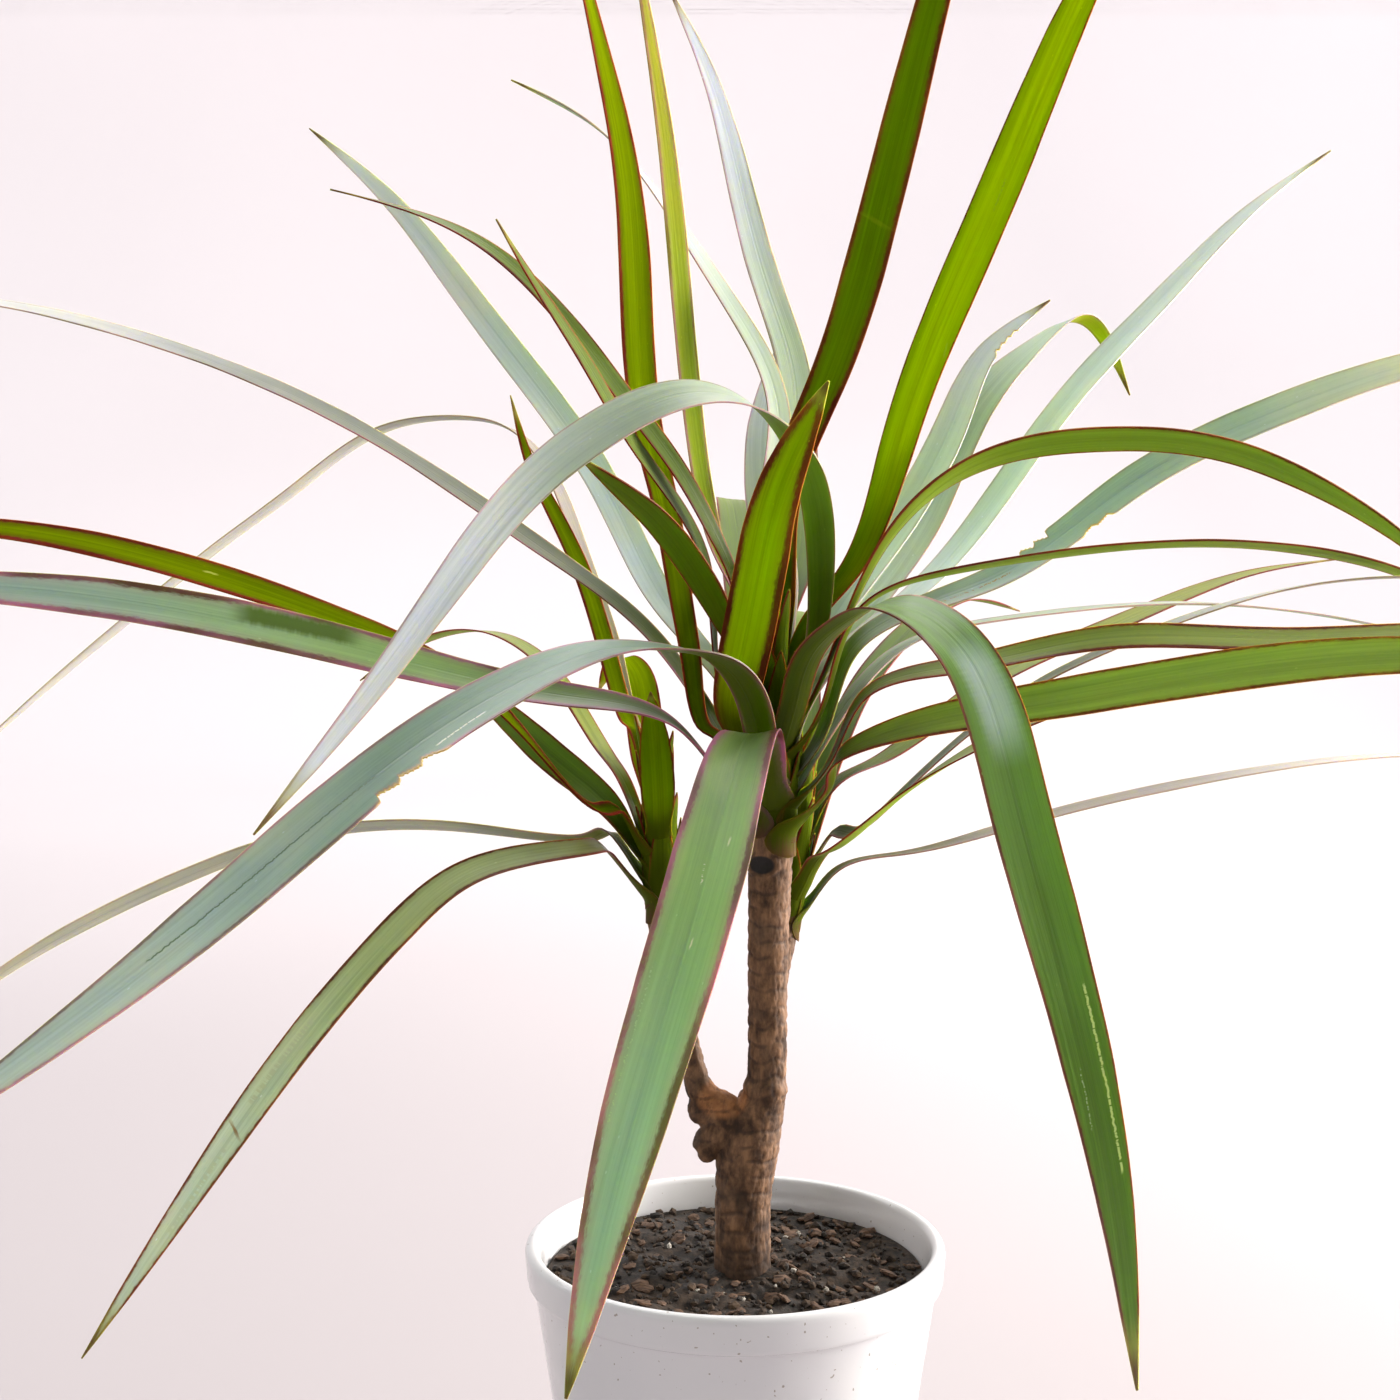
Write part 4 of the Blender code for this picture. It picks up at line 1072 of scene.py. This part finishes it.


# The greens, from the foot of the leaf through its middle to its tip: of the upper face, then of
# the underside. Besides the leaf's own green they hold painted light: the dark feet are painted
# shade inside the crown, the pale bluish and greyish tints of sage, silver, frost, ivory, haze and
# smoke and of the tips of grass and moss are painted sheen of the pale room, the glowing
# yellow-greens of lime, bright and flame are painted light shining through the blade, and dusk
# is darkened as painted shade.
GREENS = {
    "grass": (((0.045, 0.082, 0.001), (0.290, 0.420, 0.160), (0.350, 0.440, 0.430)),
              ((0.070, 0.095, 0.002), (0.210, 0.310, 0.030), (0.220, 0.310, 0.090))),
    "sage": (((0.060, 0.110, 0.003), (0.165, 0.255, 0.190), (0.470, 0.530, 0.600)),
             ((0.080, 0.105, 0.001), (0.100, 0.140, 0.004), (0.180, 0.250, 0.120))),
    "deep": (((0.070, 0.150, 0.006), (0.150, 0.270, 0.050), (0.085, 0.170, 0.004)),
             ((0.060, 0.085, 0.001), (0.120, 0.180, 0.003), (0.120, 0.190, 0.010))),
    "silver": (((0.090, 0.130, 0.008), (0.320, 0.385, 0.290), (0.480, 0.500, 0.600)),
               ((0.065, 0.088, 0.001), (0.190, 0.250, 0.050), (0.300, 0.360, 0.250))),
    "curled": (((0.090, 0.130, 0.008), (0.290, 0.360, 0.270), (0.330, 0.390, 0.300)),
               ((0.065, 0.088, 0.001), (0.250, 0.330, 0.060), (0.300, 0.340, 0.010))),
    "frost": (((0.100, 0.145, 0.012), (0.450, 0.520, 0.560), (0.520, 0.530, 0.680)),
              ((0.075, 0.100, 0.002), (0.370, 0.450, 0.330), (0.450, 0.500, 0.470))),
    "ivory": (((0.100, 0.130, 0.010), (0.320, 0.390, 0.400), (0.600, 0.600, 0.600)),
              ((0.090, 0.105, 0.004), (0.380, 0.400, 0.330), (0.480, 0.470, 0.450))),
    "haze": (((0.110, 0.110, 0.030), (0.300, 0.265, 0.245), (0.560, 0.510, 0.500)),
             ((0.090, 0.105, 0.004), (0.390, 0.370, 0.370), (0.540, 0.500, 0.520))),
    "smoke": (((0.040, 0.056, 0.002), (0.130, 0.140, 0.100), (0.580, 0.560, 0.580)),
              ((0.040, 0.052, 0.001), (0.120, 0.130, 0.080), (0.400, 0.400, 0.360))),
    "lime": (((0.050, 0.080, 0.001), (0.130, 0.190, 0.001), (0.140, 0.195, 0.001)),
             ((0.060, 0.085, 0.001), (0.190, 0.275, 0.001), (0.200, 0.285, 0.001))),
    "bright": (((0.080, 0.105, 0.001), (0.370, 0.420, 0.001), (0.390, 0.430, 0.001)),
               ((0.060, 0.085, 0.001), (0.190, 0.275, 0.001), (0.200, 0.285, 0.001))),
    "flame": (((0.050, 0.080, 0.001), (0.130, 0.200, 0.001), (0.150, 0.190, 0.001)),
              ((0.065, 0.080, 0.001), (0.320, 0.420, 0.001), (0.260, 0.330, 0.001))),
    "straw": (((0.090, 0.115, 0.001), (0.230, 0.300, 0.025), (0.320, 0.320, 0.032)),
              ((0.080, 0.100, 0.001), (0.270, 0.330, 0.030), (0.380, 0.410, 0.060))),
    "olive": (((0.050, 0.070, 0.001), (0.240, 0.280, 0.070), (0.260, 0.270, 0.090)),
              ((0.055, 0.072, 0.001), (0.195, 0.280, 0.025), (0.210, 0.270, 0.045))),
    "moss": (((0.130, 0.130, 0.010), (0.460, 0.500, 0.290), (0.580, 0.660, 0.660)),
             ((0.100, 0.110, 0.004), (0.300, 0.310, 0.110), (0.320, 0.360, 0.220))),
    "dusk": (((0.038, 0.060, 0.001), (0.095, 0.145, 0.016), (0.130, 0.180, 0.035)),
             ((0.040, 0.060, 0.001), (0.090, 0.135, 0.003), (0.130, 0.180, 0.015))),
}

# How far the veins are darker and lighter than the green, how strongly the upper face shines,
# where the painted shade of the foot ends, and how full the red of the edges is.
VEINS = {
    "grass": 0.10, "sage": 0.10, "deep": 0.16, "silver": 0.10, "curled": 0.10, "frost": 0.06,
    "ivory": 0.06, "haze": 0.08, "smoke": 0.10, "lime": 0.20, "bright": 0.16, "flame": 0.16,
    "straw": 0.14, "olive": 0.16, "moss": 0.16, "dusk": 0.16,
}
SHINE = {
    "grass": 0.30, "sage": 0.40, "deep": 0.50, "silver": 0.25, "curled": 0.10, "frost": 0.25,
    "ivory": 0.15, "haze": 0.05, "smoke": 0.10, "lime": 0.0, "bright": 0.0, "flame": 0.0,
    "straw": 0.0, "olive": 0.05, "moss": 0.20, "dusk": 0.05,
}
UNDER_SHINE = 0.2
FOOT_END = {"grass": 0.46}
USUAL_FOOT_END = 0.30
REDNESS = {
    "grass": 0.95, "sage": 0.75, "silver": 0.55, "curled": 0.45, "frost": 0.35, "ivory": 0.35,
    "haze": 0.3, "smoke": 0.5, "straw": 0.6,
}
LIGHT_THROUGH = 0.85
LIGHT_REACH = (1.5, 1.95, 0.2)
DARK_RED = (0.085, 0.006, 0.008)
WARM_RED = (0.190, 0.020, 0.014)
MAUVE = (0.430, 0.105, 0.270)
# Painted shade for the foot of the blade, and for the sheath a red darkened as painted shade.
FOOT_SHADE_GREEN = (0.062, 0.084, 0.003)
SHADED_SHEATH_RED = (0.110, 0.048, 0.028)
DRY_TAN = (0.52, 0.33, 0.16)
DRY_BROWN = (0.13, 0.062, 0.030)


def line_mark(tree, across, along, start, end, width, wander, broken):
    """A wandering line on the blade, from one place to another in millimetres."""
    share = sum_of(tree, "DIVIDE", sum_of(tree, "SUBTRACT", along, start[1]), end[1] - start[1])
    share.node.use_clamp = True
    middle = sum_of(tree, "MULTIPLY_ADD", share, end[0] - start[0], start[0])
    course = tree.nodes.new("ShaderNodeCombineXYZ")
    put(tree, course.inputs["X"], sum_of(tree, "MULTIPLY", along, 0.9))
    put(tree, course.inputs["Y"], 3.7)
    wave = grain(tree, course.outputs[0], 1.0, 2.0)
    middle = nudged(tree, middle, wave, wander)
    off = sum_of(tree, "ABSOLUTE", sum_of(tree, "SUBTRACT", across, middle), 0.0)
    inside = span(tree, off, width * 0.35, width, 1.0, 0.0)
    low, high = min(start[1], end[1]), max(start[1], end[1])
    fade = max(1.5, 2.2 * width)
    inside = sum_of(tree, "MULTIPLY", inside, span(tree, along, low, low + fade))
    inside = sum_of(tree, "MULTIPLY", inside, span(tree, along, high - fade, high, 1.0, 0.0))
    if broken:
        gaps = grain(tree, course.outputs[0], 2.3, 1.0, shift=(4.0, 0.0, 0.0))
        inside = sum_of(tree, "MULTIPLY", inside, span(tree, gaps, broken - 0.05, broken + 0.05))
    return inside


def leaf_skin(name, kind, face, red_edge, marks=()):
    """The skin of one face of a leaf. Marks are lines on it: start, end, width, wander, colour."""
    skin, tree, shader, _ = new_skin(name)
    chart = tree.nodes.new("ShaderNodeUVMap")
    chart.uv_map = "blade"
    across = sum_of(tree, "MULTIPLY", axis_of(tree, chart.outputs[0], "X"), CHART_UNIT)
    along = sum_of(tree, "MULTIPLY", axis_of(tree, chart.outputs[0], "Y"), CHART_UNIT)
    own = measure(tree, "own")
    spread = tree.nodes.new("ShaderNodeCombineXYZ")
    put(tree, spread.inputs["X"], across)
    put(tree, spread.inputs["Y"], along)
    put(tree, spread.inputs["Z"], sum_of(tree, "MULTIPLY", own, 60.0))
    blade = spread.outputs[0]

    veins = grain(tree, blade, 1.0, 3.0, 0.6, (1.9, 0.018, 1.0))
    bands = grain(tree, blade, 1.0, 2.0, 0.5, (0.50, 0.010, 1.0), (7.0, 0.0, 0.0))
    patches = grain(tree, blade, 1.0, 2.0, 0.5, (0.10, 0.035, 1.0), (0.0, 5.0, 0.0))
    flecks = grain(tree, blade, 1.0, 2.0, 0.5, (2.2, 0.55, 1.0), (3.0, 0.0, 0.0))
    low, middle, high = GREENS[kind][0 if face == "upper" else 1]
    reached = nudged(tree, measure(tree, "share"), patches, 0.16)
    green = blend_of(tree, span(tree, reached, 0.08, FOOT_END.get(kind, USUAL_FOOT_END)), low, middle)
    green = blend_of(tree, span(tree, reached, 0.42, 0.80), green, high)
    strength = sum_of(tree, "MULTIPLY_ADD", span(tree, veins, 0.28, 0.72), 0.55,
                      sum_of(tree, "MULTIPLY", span(tree, bands, 0.32, 0.68), 0.45))
    depth = VEINS[kind]
    darker = tinted(tree, green, tuple([1.0 - 1.5 * depth] * 3))
    lighter = tinted(tree, green, tuple([1.0 + depth] * 3))
    colour = blend_of(tree, strength, darker, lighter)
    yellower = tinted(tree, green, (1.22, 1.03, 0.62))
    colour = blend_of(tree, span(tree, patches, 0.45, 0.78, 0.0, 0.28), colour, yellower)
    deeper = tinted(tree, green, (0.66, 0.78, 0.80))
    colour = blend_of(tree, span(tree, flecks, 0.60, 0.74, 0.0, 0.30), colour, deeper)
    # Painted shade on the flanks of the glowing leaves: the green darkens towards the edges so that the
    # middle glows brightest.
    if kind in ("lime", "bright", "flame"):
        flank = span(tree, measure(tree, "edge_mm"), 0.6, 3.6, 0.62, 0.0)
        colour = blend_of(tree, flank, colour, tinted(tree, green, (0.45, 0.50, 0.5)))

    # Painted shade along the midrib: the middle of the blade is darkened towards the deeper green as
    # well as pressed in by the relief.
    crease = span(tree, sum_of(tree, "ABSOLUTE", across, 0.0), 0.12, 0.55, 1.0, 0.0)
    fade = span(tree, measure(tree, "share"), 0.75, 0.95, 1.0, 0.0)
    crease = sum_of(tree, "MULTIPLY", crease, fade)
    colour = blend_of(tree, sum_of(tree, "MULTIPLY", crease, 0.14), colour, deeper)

    from_edge = nudged(tree, measure(tree, "edge_mm"), flecks, 0.9 * red_edge)
    from_edge = nudged(tree, from_edge, patches, 1.3 * red_edge)
    redness = REDNESS.get(kind, 1.0)
    pale_red = MAUVE if redness < 1.0 else WARM_RED
    halo = span(tree, from_edge, 0.8 * red_edge, 2.6 * red_edge, 0.20 * redness, 0.0)
    colour = blend_of(tree, halo, colour, pale_red)
    red = blend_of(tree, span(tree, patches, 0.3, 0.7), DARK_RED, pale_red)
    rim = span(tree, from_edge, 0.5 * red_edge, 1.25 * red_edge, 0.97 * redness, 0.0)
    colour = blend_of(tree, rim, colour, red)

    # Painted shade at the foot, where the leaves crowd round the stem: the blade darkens to a shade
    # green over its first 20 mm, and the sheath under it to a dark red.
    foot = nudged(tree, along, veins, 9.0)
    colour = blend_of(tree, span(tree, foot, 2.0, 20.0, 0.75, 0.0), colour, FOOT_SHADE_GREEN)
    colour = blend_of(tree, span(tree, foot, -7.5, -1.0, 0.75, 0.0), colour, SHADED_SHEATH_RED)
    tip = nudged(tree, measure(tree, "share"), veins, 0.030)
    colour = blend_of(tree, span(tree, tip, 0.925, 0.965, 0.0, 0.6), colour, (0.30, 0.25, 0.06))
    colour = blend_of(tree, span(tree, tip, 0.958, 0.985), colour, DRY_BROWN)
    colour = blend_of(tree, span(tree, measure(tree, "torn"), 0.25, 0.75, 0.0, 0.9), colour, DRY_TAN)

    pricks = tree.nodes.new("ShaderNodeTexVoronoi")
    pricks.feature = "F1"
    spaced = tree.nodes.new("ShaderNodeMapping")
    put(tree, spaced.inputs["Vector"], blade)
    spaced.inputs["Scale"].default_value = (0.30, 0.13, 1.0)
    put(tree, pricks.inputs["Vector"], spaced.outputs[0])
    pricks.inputs["Scale"].default_value = 1.0
    dots = span(tree, pricks.outputs["Distance"], 0.030, 0.065, 0.45, 0.0)
    colour = blend_of(tree, dots, colour, tinted(tree, green, (1.7, 1.5, 1.9)))

    smoothest = 0.30 if face == "upper" else 0.42
    gloss = span(tree, strength, 0.0, 1.0, smoothest, smoothest + 0.14)
    for start, end, width, wander, broken, tint in marks:
        line = line_mark(tree, across, along, start, end, width, wander, broken)
        colour = blend_of(tree, line, colour, tint)
        gloss = sum_of(tree, "MULTIPLY_ADD", line, 0.25, gloss)
    dry = span(tree, tip, 0.95, 0.98, 0.0, 0.35)
    ribs = grain(tree, blade, 1.0, 1.0, 0.5, (3.2, 0.012, 1.0), (1.0, 0.0, 0.0))
    soft = relief(tree, bands, 0.22 if kind == "deep" else 0.10, 0.8)
    soft = relief(tree, crease, -0.05 if face == "upper" else 0.08, 1.0, soft)
    dress(tree, shader, colour, sum_of(tree, "ADD", gloss, dry), relief(tree, ribs, 0.035, 1.0, soft))
    shine = SHINE[kind] if face == "upper" else UNDER_SHINE * SHINE[kind]
    shader.inputs["Specular IOR Level"].default_value = shine
    shader.inputs["Subsurface Weight"].default_value = LIGHT_THROUGH
    shader.inputs["Subsurface Radius"].default_value = LIGHT_REACH
    shader.inputs["Subsurface Scale"].default_value = MM
    return skin


# Scars and blemishes, with a few painted sheens and shades: where each starts and ends on its leaf
# (millimetres across and along), its width, how far it wanders, how broken it is and its colour.
PALE_SCAR = (0.62, 0.60, 0.50)
CORKY = (0.33, 0.20, 0.10)
# Painted shade along a crease.
CREASE_SHADE = (0.150, 0.200, 0.150)
SICKLY = (0.46, 0.44, 0.03)
# Painted sheen where a blade bends over.
CREST_SHEEN = (0.40, 0.50, 0.44)
MARKS = {
    "main_01": [
        ((-1.4, 100.0), (-0.6, 108.0), 0.30, 0.8, 0.5, PALE_SCAR),
        ((3.6, 92.0), (3.4, 96.0), 0.35, 0.3, 0.0, PALE_SCAR),
        ((1.2, 122.0), (1.0, 126.0), 0.30, 0.3, 0.0, PALE_SCAR),
        ((-6.2, 131.0), (-5.6, 170.0), 0.25, 1.6, 0.55, (0.42, 0.50, 0.36)),
    ],
    "main_02": [
        # painted sheen across the whole blade where it bends over
        ((1.0, 94.0), (1.0, 134.0), 6.5, 1.0, 0.0, CREST_SHEEN),
        ((3.9, 186.0), (2.9, 233.0), 0.42, 0.9, 0.38, (0.50, 0.54, 0.24)),
        ((-2.2, 205.0), (-2.6, 221.0), 0.25, 0.8, 0.5, (0.30, 0.36, 0.20)),
    ],
    "main_03": [
        ((4.0, 127.0), (4.6, 144.0), 0.40, 0.5, 0.35, (0.80, 0.80, 0.76)),
        # painted shade along the midrib crease
        ((0.3, 158.0), (-1.3, 226.0), 0.30, 0.9, 0.3, CREASE_SHADE),
    ],
    "main_06": [((-5.5, 126.0), (5.5, 131.0), 2.4, 2.0, 0.0, SICKLY)],
    "main_07": [
        ((-5.0, 104.0), (-4.0, 110.0), 0.5, 0.6, 0.0, (0.30, 0.33, 0.02)),
        ((-1.0, 150.0), (-0.6, 162.0), 0.4, 0.6, 0.4, (0.30, 0.33, 0.02)),
    ],
    "left_01": [((-1.2, 151.0), (-0.8, 156.0), 0.6, 0.6, 0.0, (0.36, 0.38, 0.06))],
    # painted shadow: a wide dark stretch on one half of the upper face
    "main_17": [((-3.4, 122.0), (-2.4, 160.0), 3.6, 1.5, 0.0, (0.090, 0.150, 0.018))],
    "left_02": [
        ((-3.8, 160.0), (3.8, 164.5), 1.1, 2.0, 0.0, CORKY),
        # two pale lengthwise lines of painted sheen on the lower part of the blade
        ((-1.0, 128.0), (-0.8, 156.0), 1.1, 0.8, 0.45, (0.52, 0.54, 0.44)),
        ((0.4, 166.0), (0.8, 192.0), 0.9, 1.0, 0.45, (0.54, 0.58, 0.52)),
    ],
    "main_19": [((-2.0, 60.0), (-1.0, 95.0), 0.35, 1.2, 0.5, CORKY)],
}

kind_of = {short: kind for kind, names in LEAF_GREENS.items() for short in names.split()}
skins = {}
for leaf in LEAVES:
    short = leaf[0]
    name = "leaf_" + short
    kind, red_edge = kind_of[short], RED_EDGES.get(short, USUAL_RED_EDGE)
    faces = []
    for face in ("upper", "under"):
        marks = MARKS.get(short, ()) if face == "upper" else ()
        own_name = f"{name}_{face}" if marks else f"leaf_{kind}_{face}_{red_edge}"
        if own_name not in skins:
            skins[own_name] = leaf_skin(own_name, kind, face, red_edge, marks)
        faces.append(skins[own_name])
    blade = build_leaf(leaf, faces)
    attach(blade, "root")
    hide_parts(name)


# The young sheaths. Short clasping leaf bases, one above the other round each crown, which cover the
# stem between the long leaves and close up towards the bud.
SCALE_PITCH = 2.2
SCALE_TURN = 137.5
SCALE_TALL = 30.0
SCALE_CLASP = 62.0
SCALE_SKIN = 0.42
SCALE_ROUND = 0.14
# The young sheaths wear the dusk greens, darkened as painted shade inside the crown.
scale_skins = [leaf_skin("young_sheath_upper", "dusk", "upper", 0.5),
               leaf_skin("young_sheath_under", "dusk", "under", 0.5)]
for crown in CROWNS:
    rng = random.Random(crown)
    scales = []
    for number, level in enumerate(np.arange(-3.0, CROWNS[crown]["height"] - 14.0, SCALE_PITCH)):
        heading = math.radians(number * SCALE_TURN + rng.uniform(-12.0, 12.0))
        tall = SCALE_TALL * rng.uniform(0.8, 1.15)
        bpy.ops.mesh.primitive_grid_add(x_subdivisions=14, y_subdivisions=12, size=2.0)
        scale = bpy.context.object
        mesh = scale.data
        carried = {"edge_mm": [], "share": [], "torn": [], "own": []}
        flats = []
        for vertex in mesh.vertices:
            up, lane = (vertex.co.x + 1.0) / 2.0, vertex.co.y
            opening = math.radians(SCALE_CLASP) * (1.0 - up ** 1.5) ** 0.9 + 0.02
            opening *= min(0.15 + up / SCALE_ROUND, 1.0) ** 0.5
            height = level + tall * up
            radius = crown_radius(crown, height) + 0.15 + 0.5 * min(up / 0.25, 1.0) + 2.6 * up ** 2
            angle = heading + lane * opening
            middle = crown_axis(crown, height)
            vertex.co = [v * MM for v in (middle[0] + radius * math.cos(angle),
                                          middle[1] + radius * math.sin(angle), middle[2])]
            carried["edge_mm"].append((1.0 - abs(lane)) * opening * radius)
            carried["share"].append(0.12 + 0.86 * up ** 3)
            carried["torn"].append(0.0)
            carried["own"].append(0.1 * number % 1.0)
            flats.append((lane * opening * radius, 1.1 * level - 4.0 + tall * up))
        carry(mesh, carried)
        lay_chart(mesh, flats)
        scales.append(scale)
    sheaths = join_all(scales, "young_sheaths_" + crown)
    for skin in scale_skins:
        sheaths.data.materials.append(skin)
    thicken(sheaths, SCALE_SKIN)
    smooth_below(sheaths, 50.0)
    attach(sheaths, "root")


# The growing points. A tight quill of young leaves, rolled round each other, which closes the top
# of each crown.
QUILLS = [
    ("quill_main", "main", 34.0, 4.1), ("quill_left", "left", 26.0, 3.5),
    ("quill_rear", "rear", 30.0, 3.4),
]
QUILL_TURNS = 1.6
QUILL_SKIN = 0.28
# The quill wears the lime greens, brightened as painted light shining through the blade.
quill_skin = leaf_skin("quill_leaf", "lime", "upper", 0.35)
for name, crown, tall, wide in QUILLS:
    base = crown_axis(crown, CROWNS[crown]["height"] - 16.0)
    bpy.ops.mesh.primitive_grid_add(x_subdivisions=28, y_subdivisions=40, size=2.0)
    quill = bpy.context.object
    mesh = quill.data
    carried = {"edge_mm": [], "share": [], "torn": [], "own": []}
    flats = []
    for vertex in mesh.vertices:
        up, roll = (vertex.co.x + 1.0) / 2.0, (vertex.co.y + 1.0) / 2.0
        angle = roll * 2.0 * math.pi * QUILL_TURNS + up * 1.4
        radius = (wide * (1.0 - up) ** 0.85 + 0.12) * (1.0 - 0.22 * roll)
        sway = 1.5 * up ** 2
        vertex.co = ((base[0] + radius * math.cos(angle) + sway) * MM,
                     (base[1] + radius * math.sin(angle) - sway) * MM, (base[2] + tall * up) * MM)
        carried["edge_mm"].append(min(roll, 1.0 - roll) * 12.0)
        carried["share"].append(up)
        carried["torn"].append(0.0)
        carried["own"].append(0.3)
        flats.append(((roll - 0.5) * 14.0, 20.0 + tall * up))
    carry(mesh, carried)
    lay_chart(mesh, flats)
    quill.name = name
    thicken(quill, QUILL_SKIN)
    smooth_below(quill, 50.0)
    mesh.materials.append(quill_skin)
    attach(quill, "root")


# The floor and backdrop. Plain pale studio paper on the floor, which sweeps up behind in one
# curve so that no corner shows. It is painted darker near the plant and lighter up the sweep, as
# painted light and shade.
PAPER_WIDTH = 5.0
PAPER_DEPTH = 4.0
SWEEP_START = 2.0
SWEEP_RADIUS = 1.3
SWEEP_TOP = 4.0
SWEEP_STEPS = 24
FLOOR_SIZE = 40.0
FLOOR_DROP = 0.0006

bpy.ops.mesh.primitive_plane_add(size=1.0)
paper = bpy.context.object
paper.name = "studio_paper"
begin_edit(paper)
bpy.ops.mesh.select_all(action="SELECT")
bpy.ops.transform.resize(value=(PAPER_WIDTH, PAPER_DEPTH, 1.0))
bpy.ops.mesh.select_mode(type="EDGE")
sheet = bmesh.from_edit_mesh(paper.data)
for edge in sheet.edges:
    edge.select = all(vertex.co.y > 0.9 * SWEEP_START for vertex in edge.verts)
bmesh.update_edit_mesh(paper.data)
bpy.ops.mesh.spin(
    steps=SWEEP_STEPS, angle=math.radians(-90.0), center=(0.0, SWEEP_START, SWEEP_RADIUS),
    axis=(1.0, 0.0, 0.0))
bpy.ops.mesh.extrude_region_move(
    TRANSFORM_OT_translate={"value": (0.0, 0.0, SWEEP_TOP - SWEEP_RADIUS)})
end_edit()
smooth_below(paper, 30.0)
bpy.ops.mesh.primitive_plane_add(size=FLOOR_SIZE, location=(0.0, 0.0, -FLOOR_DROP))
floor = bpy.context.object
floor.name = "studio_floor"
settle(floor)

paper_skin, tree, shader, place = new_skin("studio_paper")
tone = span(tree, grain(tree, place, 1.2, 1.0), 0.3, 0.7)
# Painted light and shade: the same paper is darker near the plant and lighter far behind it.
far = span(tree, axis_of(tree, place, "Y"), 0.4, 2.6)
shaded_near_paper = blend_of(tree, tone, (0.405, 0.368, 0.378), (0.420, 0.382, 0.392))
lit_far_paper = blend_of(tree, tone, (0.735, 0.690, 0.705), (0.755, 0.710, 0.725))
put(tree, shader.inputs["Base Color"], blend_of(tree, far, shaded_near_paper, lit_far_paper))
shader.inputs["Roughness"].default_value = 0.9
paper.data.materials.append(paper_skin)
floor.data.materials.append(paper_skin)


# The light. A bright soft window at the right, large soft panels above and in front, two panels
# that light the backdrop, and a pale room all round.
ROOM_COLOUR = (0.97, 0.955, 0.975)
ROOM_STRENGTH = 0.30

# Each lamp: name, where it stands, what it aims at, size in metres, power and colour.
LAMPS = [
    ("window", (1.5, 0.42, 0.6), (0.0, 0.0, 0.26), 1.1, 82.0, (1.0, 0.95, 0.90)),
    ("top_panel", (-0.2, 0.9, 1.8), (0.0, 0.0, 0.3), 1.5, 27.0, (1.0, 1.0, 1.0)),
    ("front_panel", (-1.0, -1.5, 1.2), (0.0, 0.0, 0.25), 1.6, 8.0, (1.0, 0.99, 0.98)),
    ("right_backdrop_panel", (1.7, 1.3, 2.2), (0.9, 3.3, 0.5), 1.6, 54.0, (1.0, 0.99, 0.99)),
    ("left_backdrop_panel", (-1.7, 1.3, 2.0), (-0.9, 3.3, 0.7), 1.6, 31.0, (1.0, 0.985, 1.0)),
]
for name, stand, aim, size, power, colour in LAMPS:
    bpy.ops.object.light_add(type="AREA", location=stand)
    lamp = bpy.context.object
    lamp.name = name
    lamp.data.shape = "SQUARE"
    lamp.data.size = size
    lamp.data.energy = power
    lamp.data.color = colour
    line = np.array(aim) - np.array(stand)
    flat = math.hypot(line[0], line[1])
    lamp.rotation_euler = (math.atan2(flat, -line[2]), 0.0, math.atan2(-line[0], line[1]))
world = bpy.data.worlds.new("pale_room")
bpy.context.scene.world = world
world.use_nodes = True
room = world.node_tree.nodes["Background"]
room.inputs["Color"].default_value = (*ROOM_COLOUR, 1.0)
room.inputs["Strength"].default_value = ROOM_STRENGTH
bpy.context.scene.view_settings.view_transform = "Standard"
bpy.context.scene.cycles.max_bounces = 6
bpy.context.scene.cycles.diffuse_bounces = 3
bpy.context.scene.cycles.glossy_bounces = 2
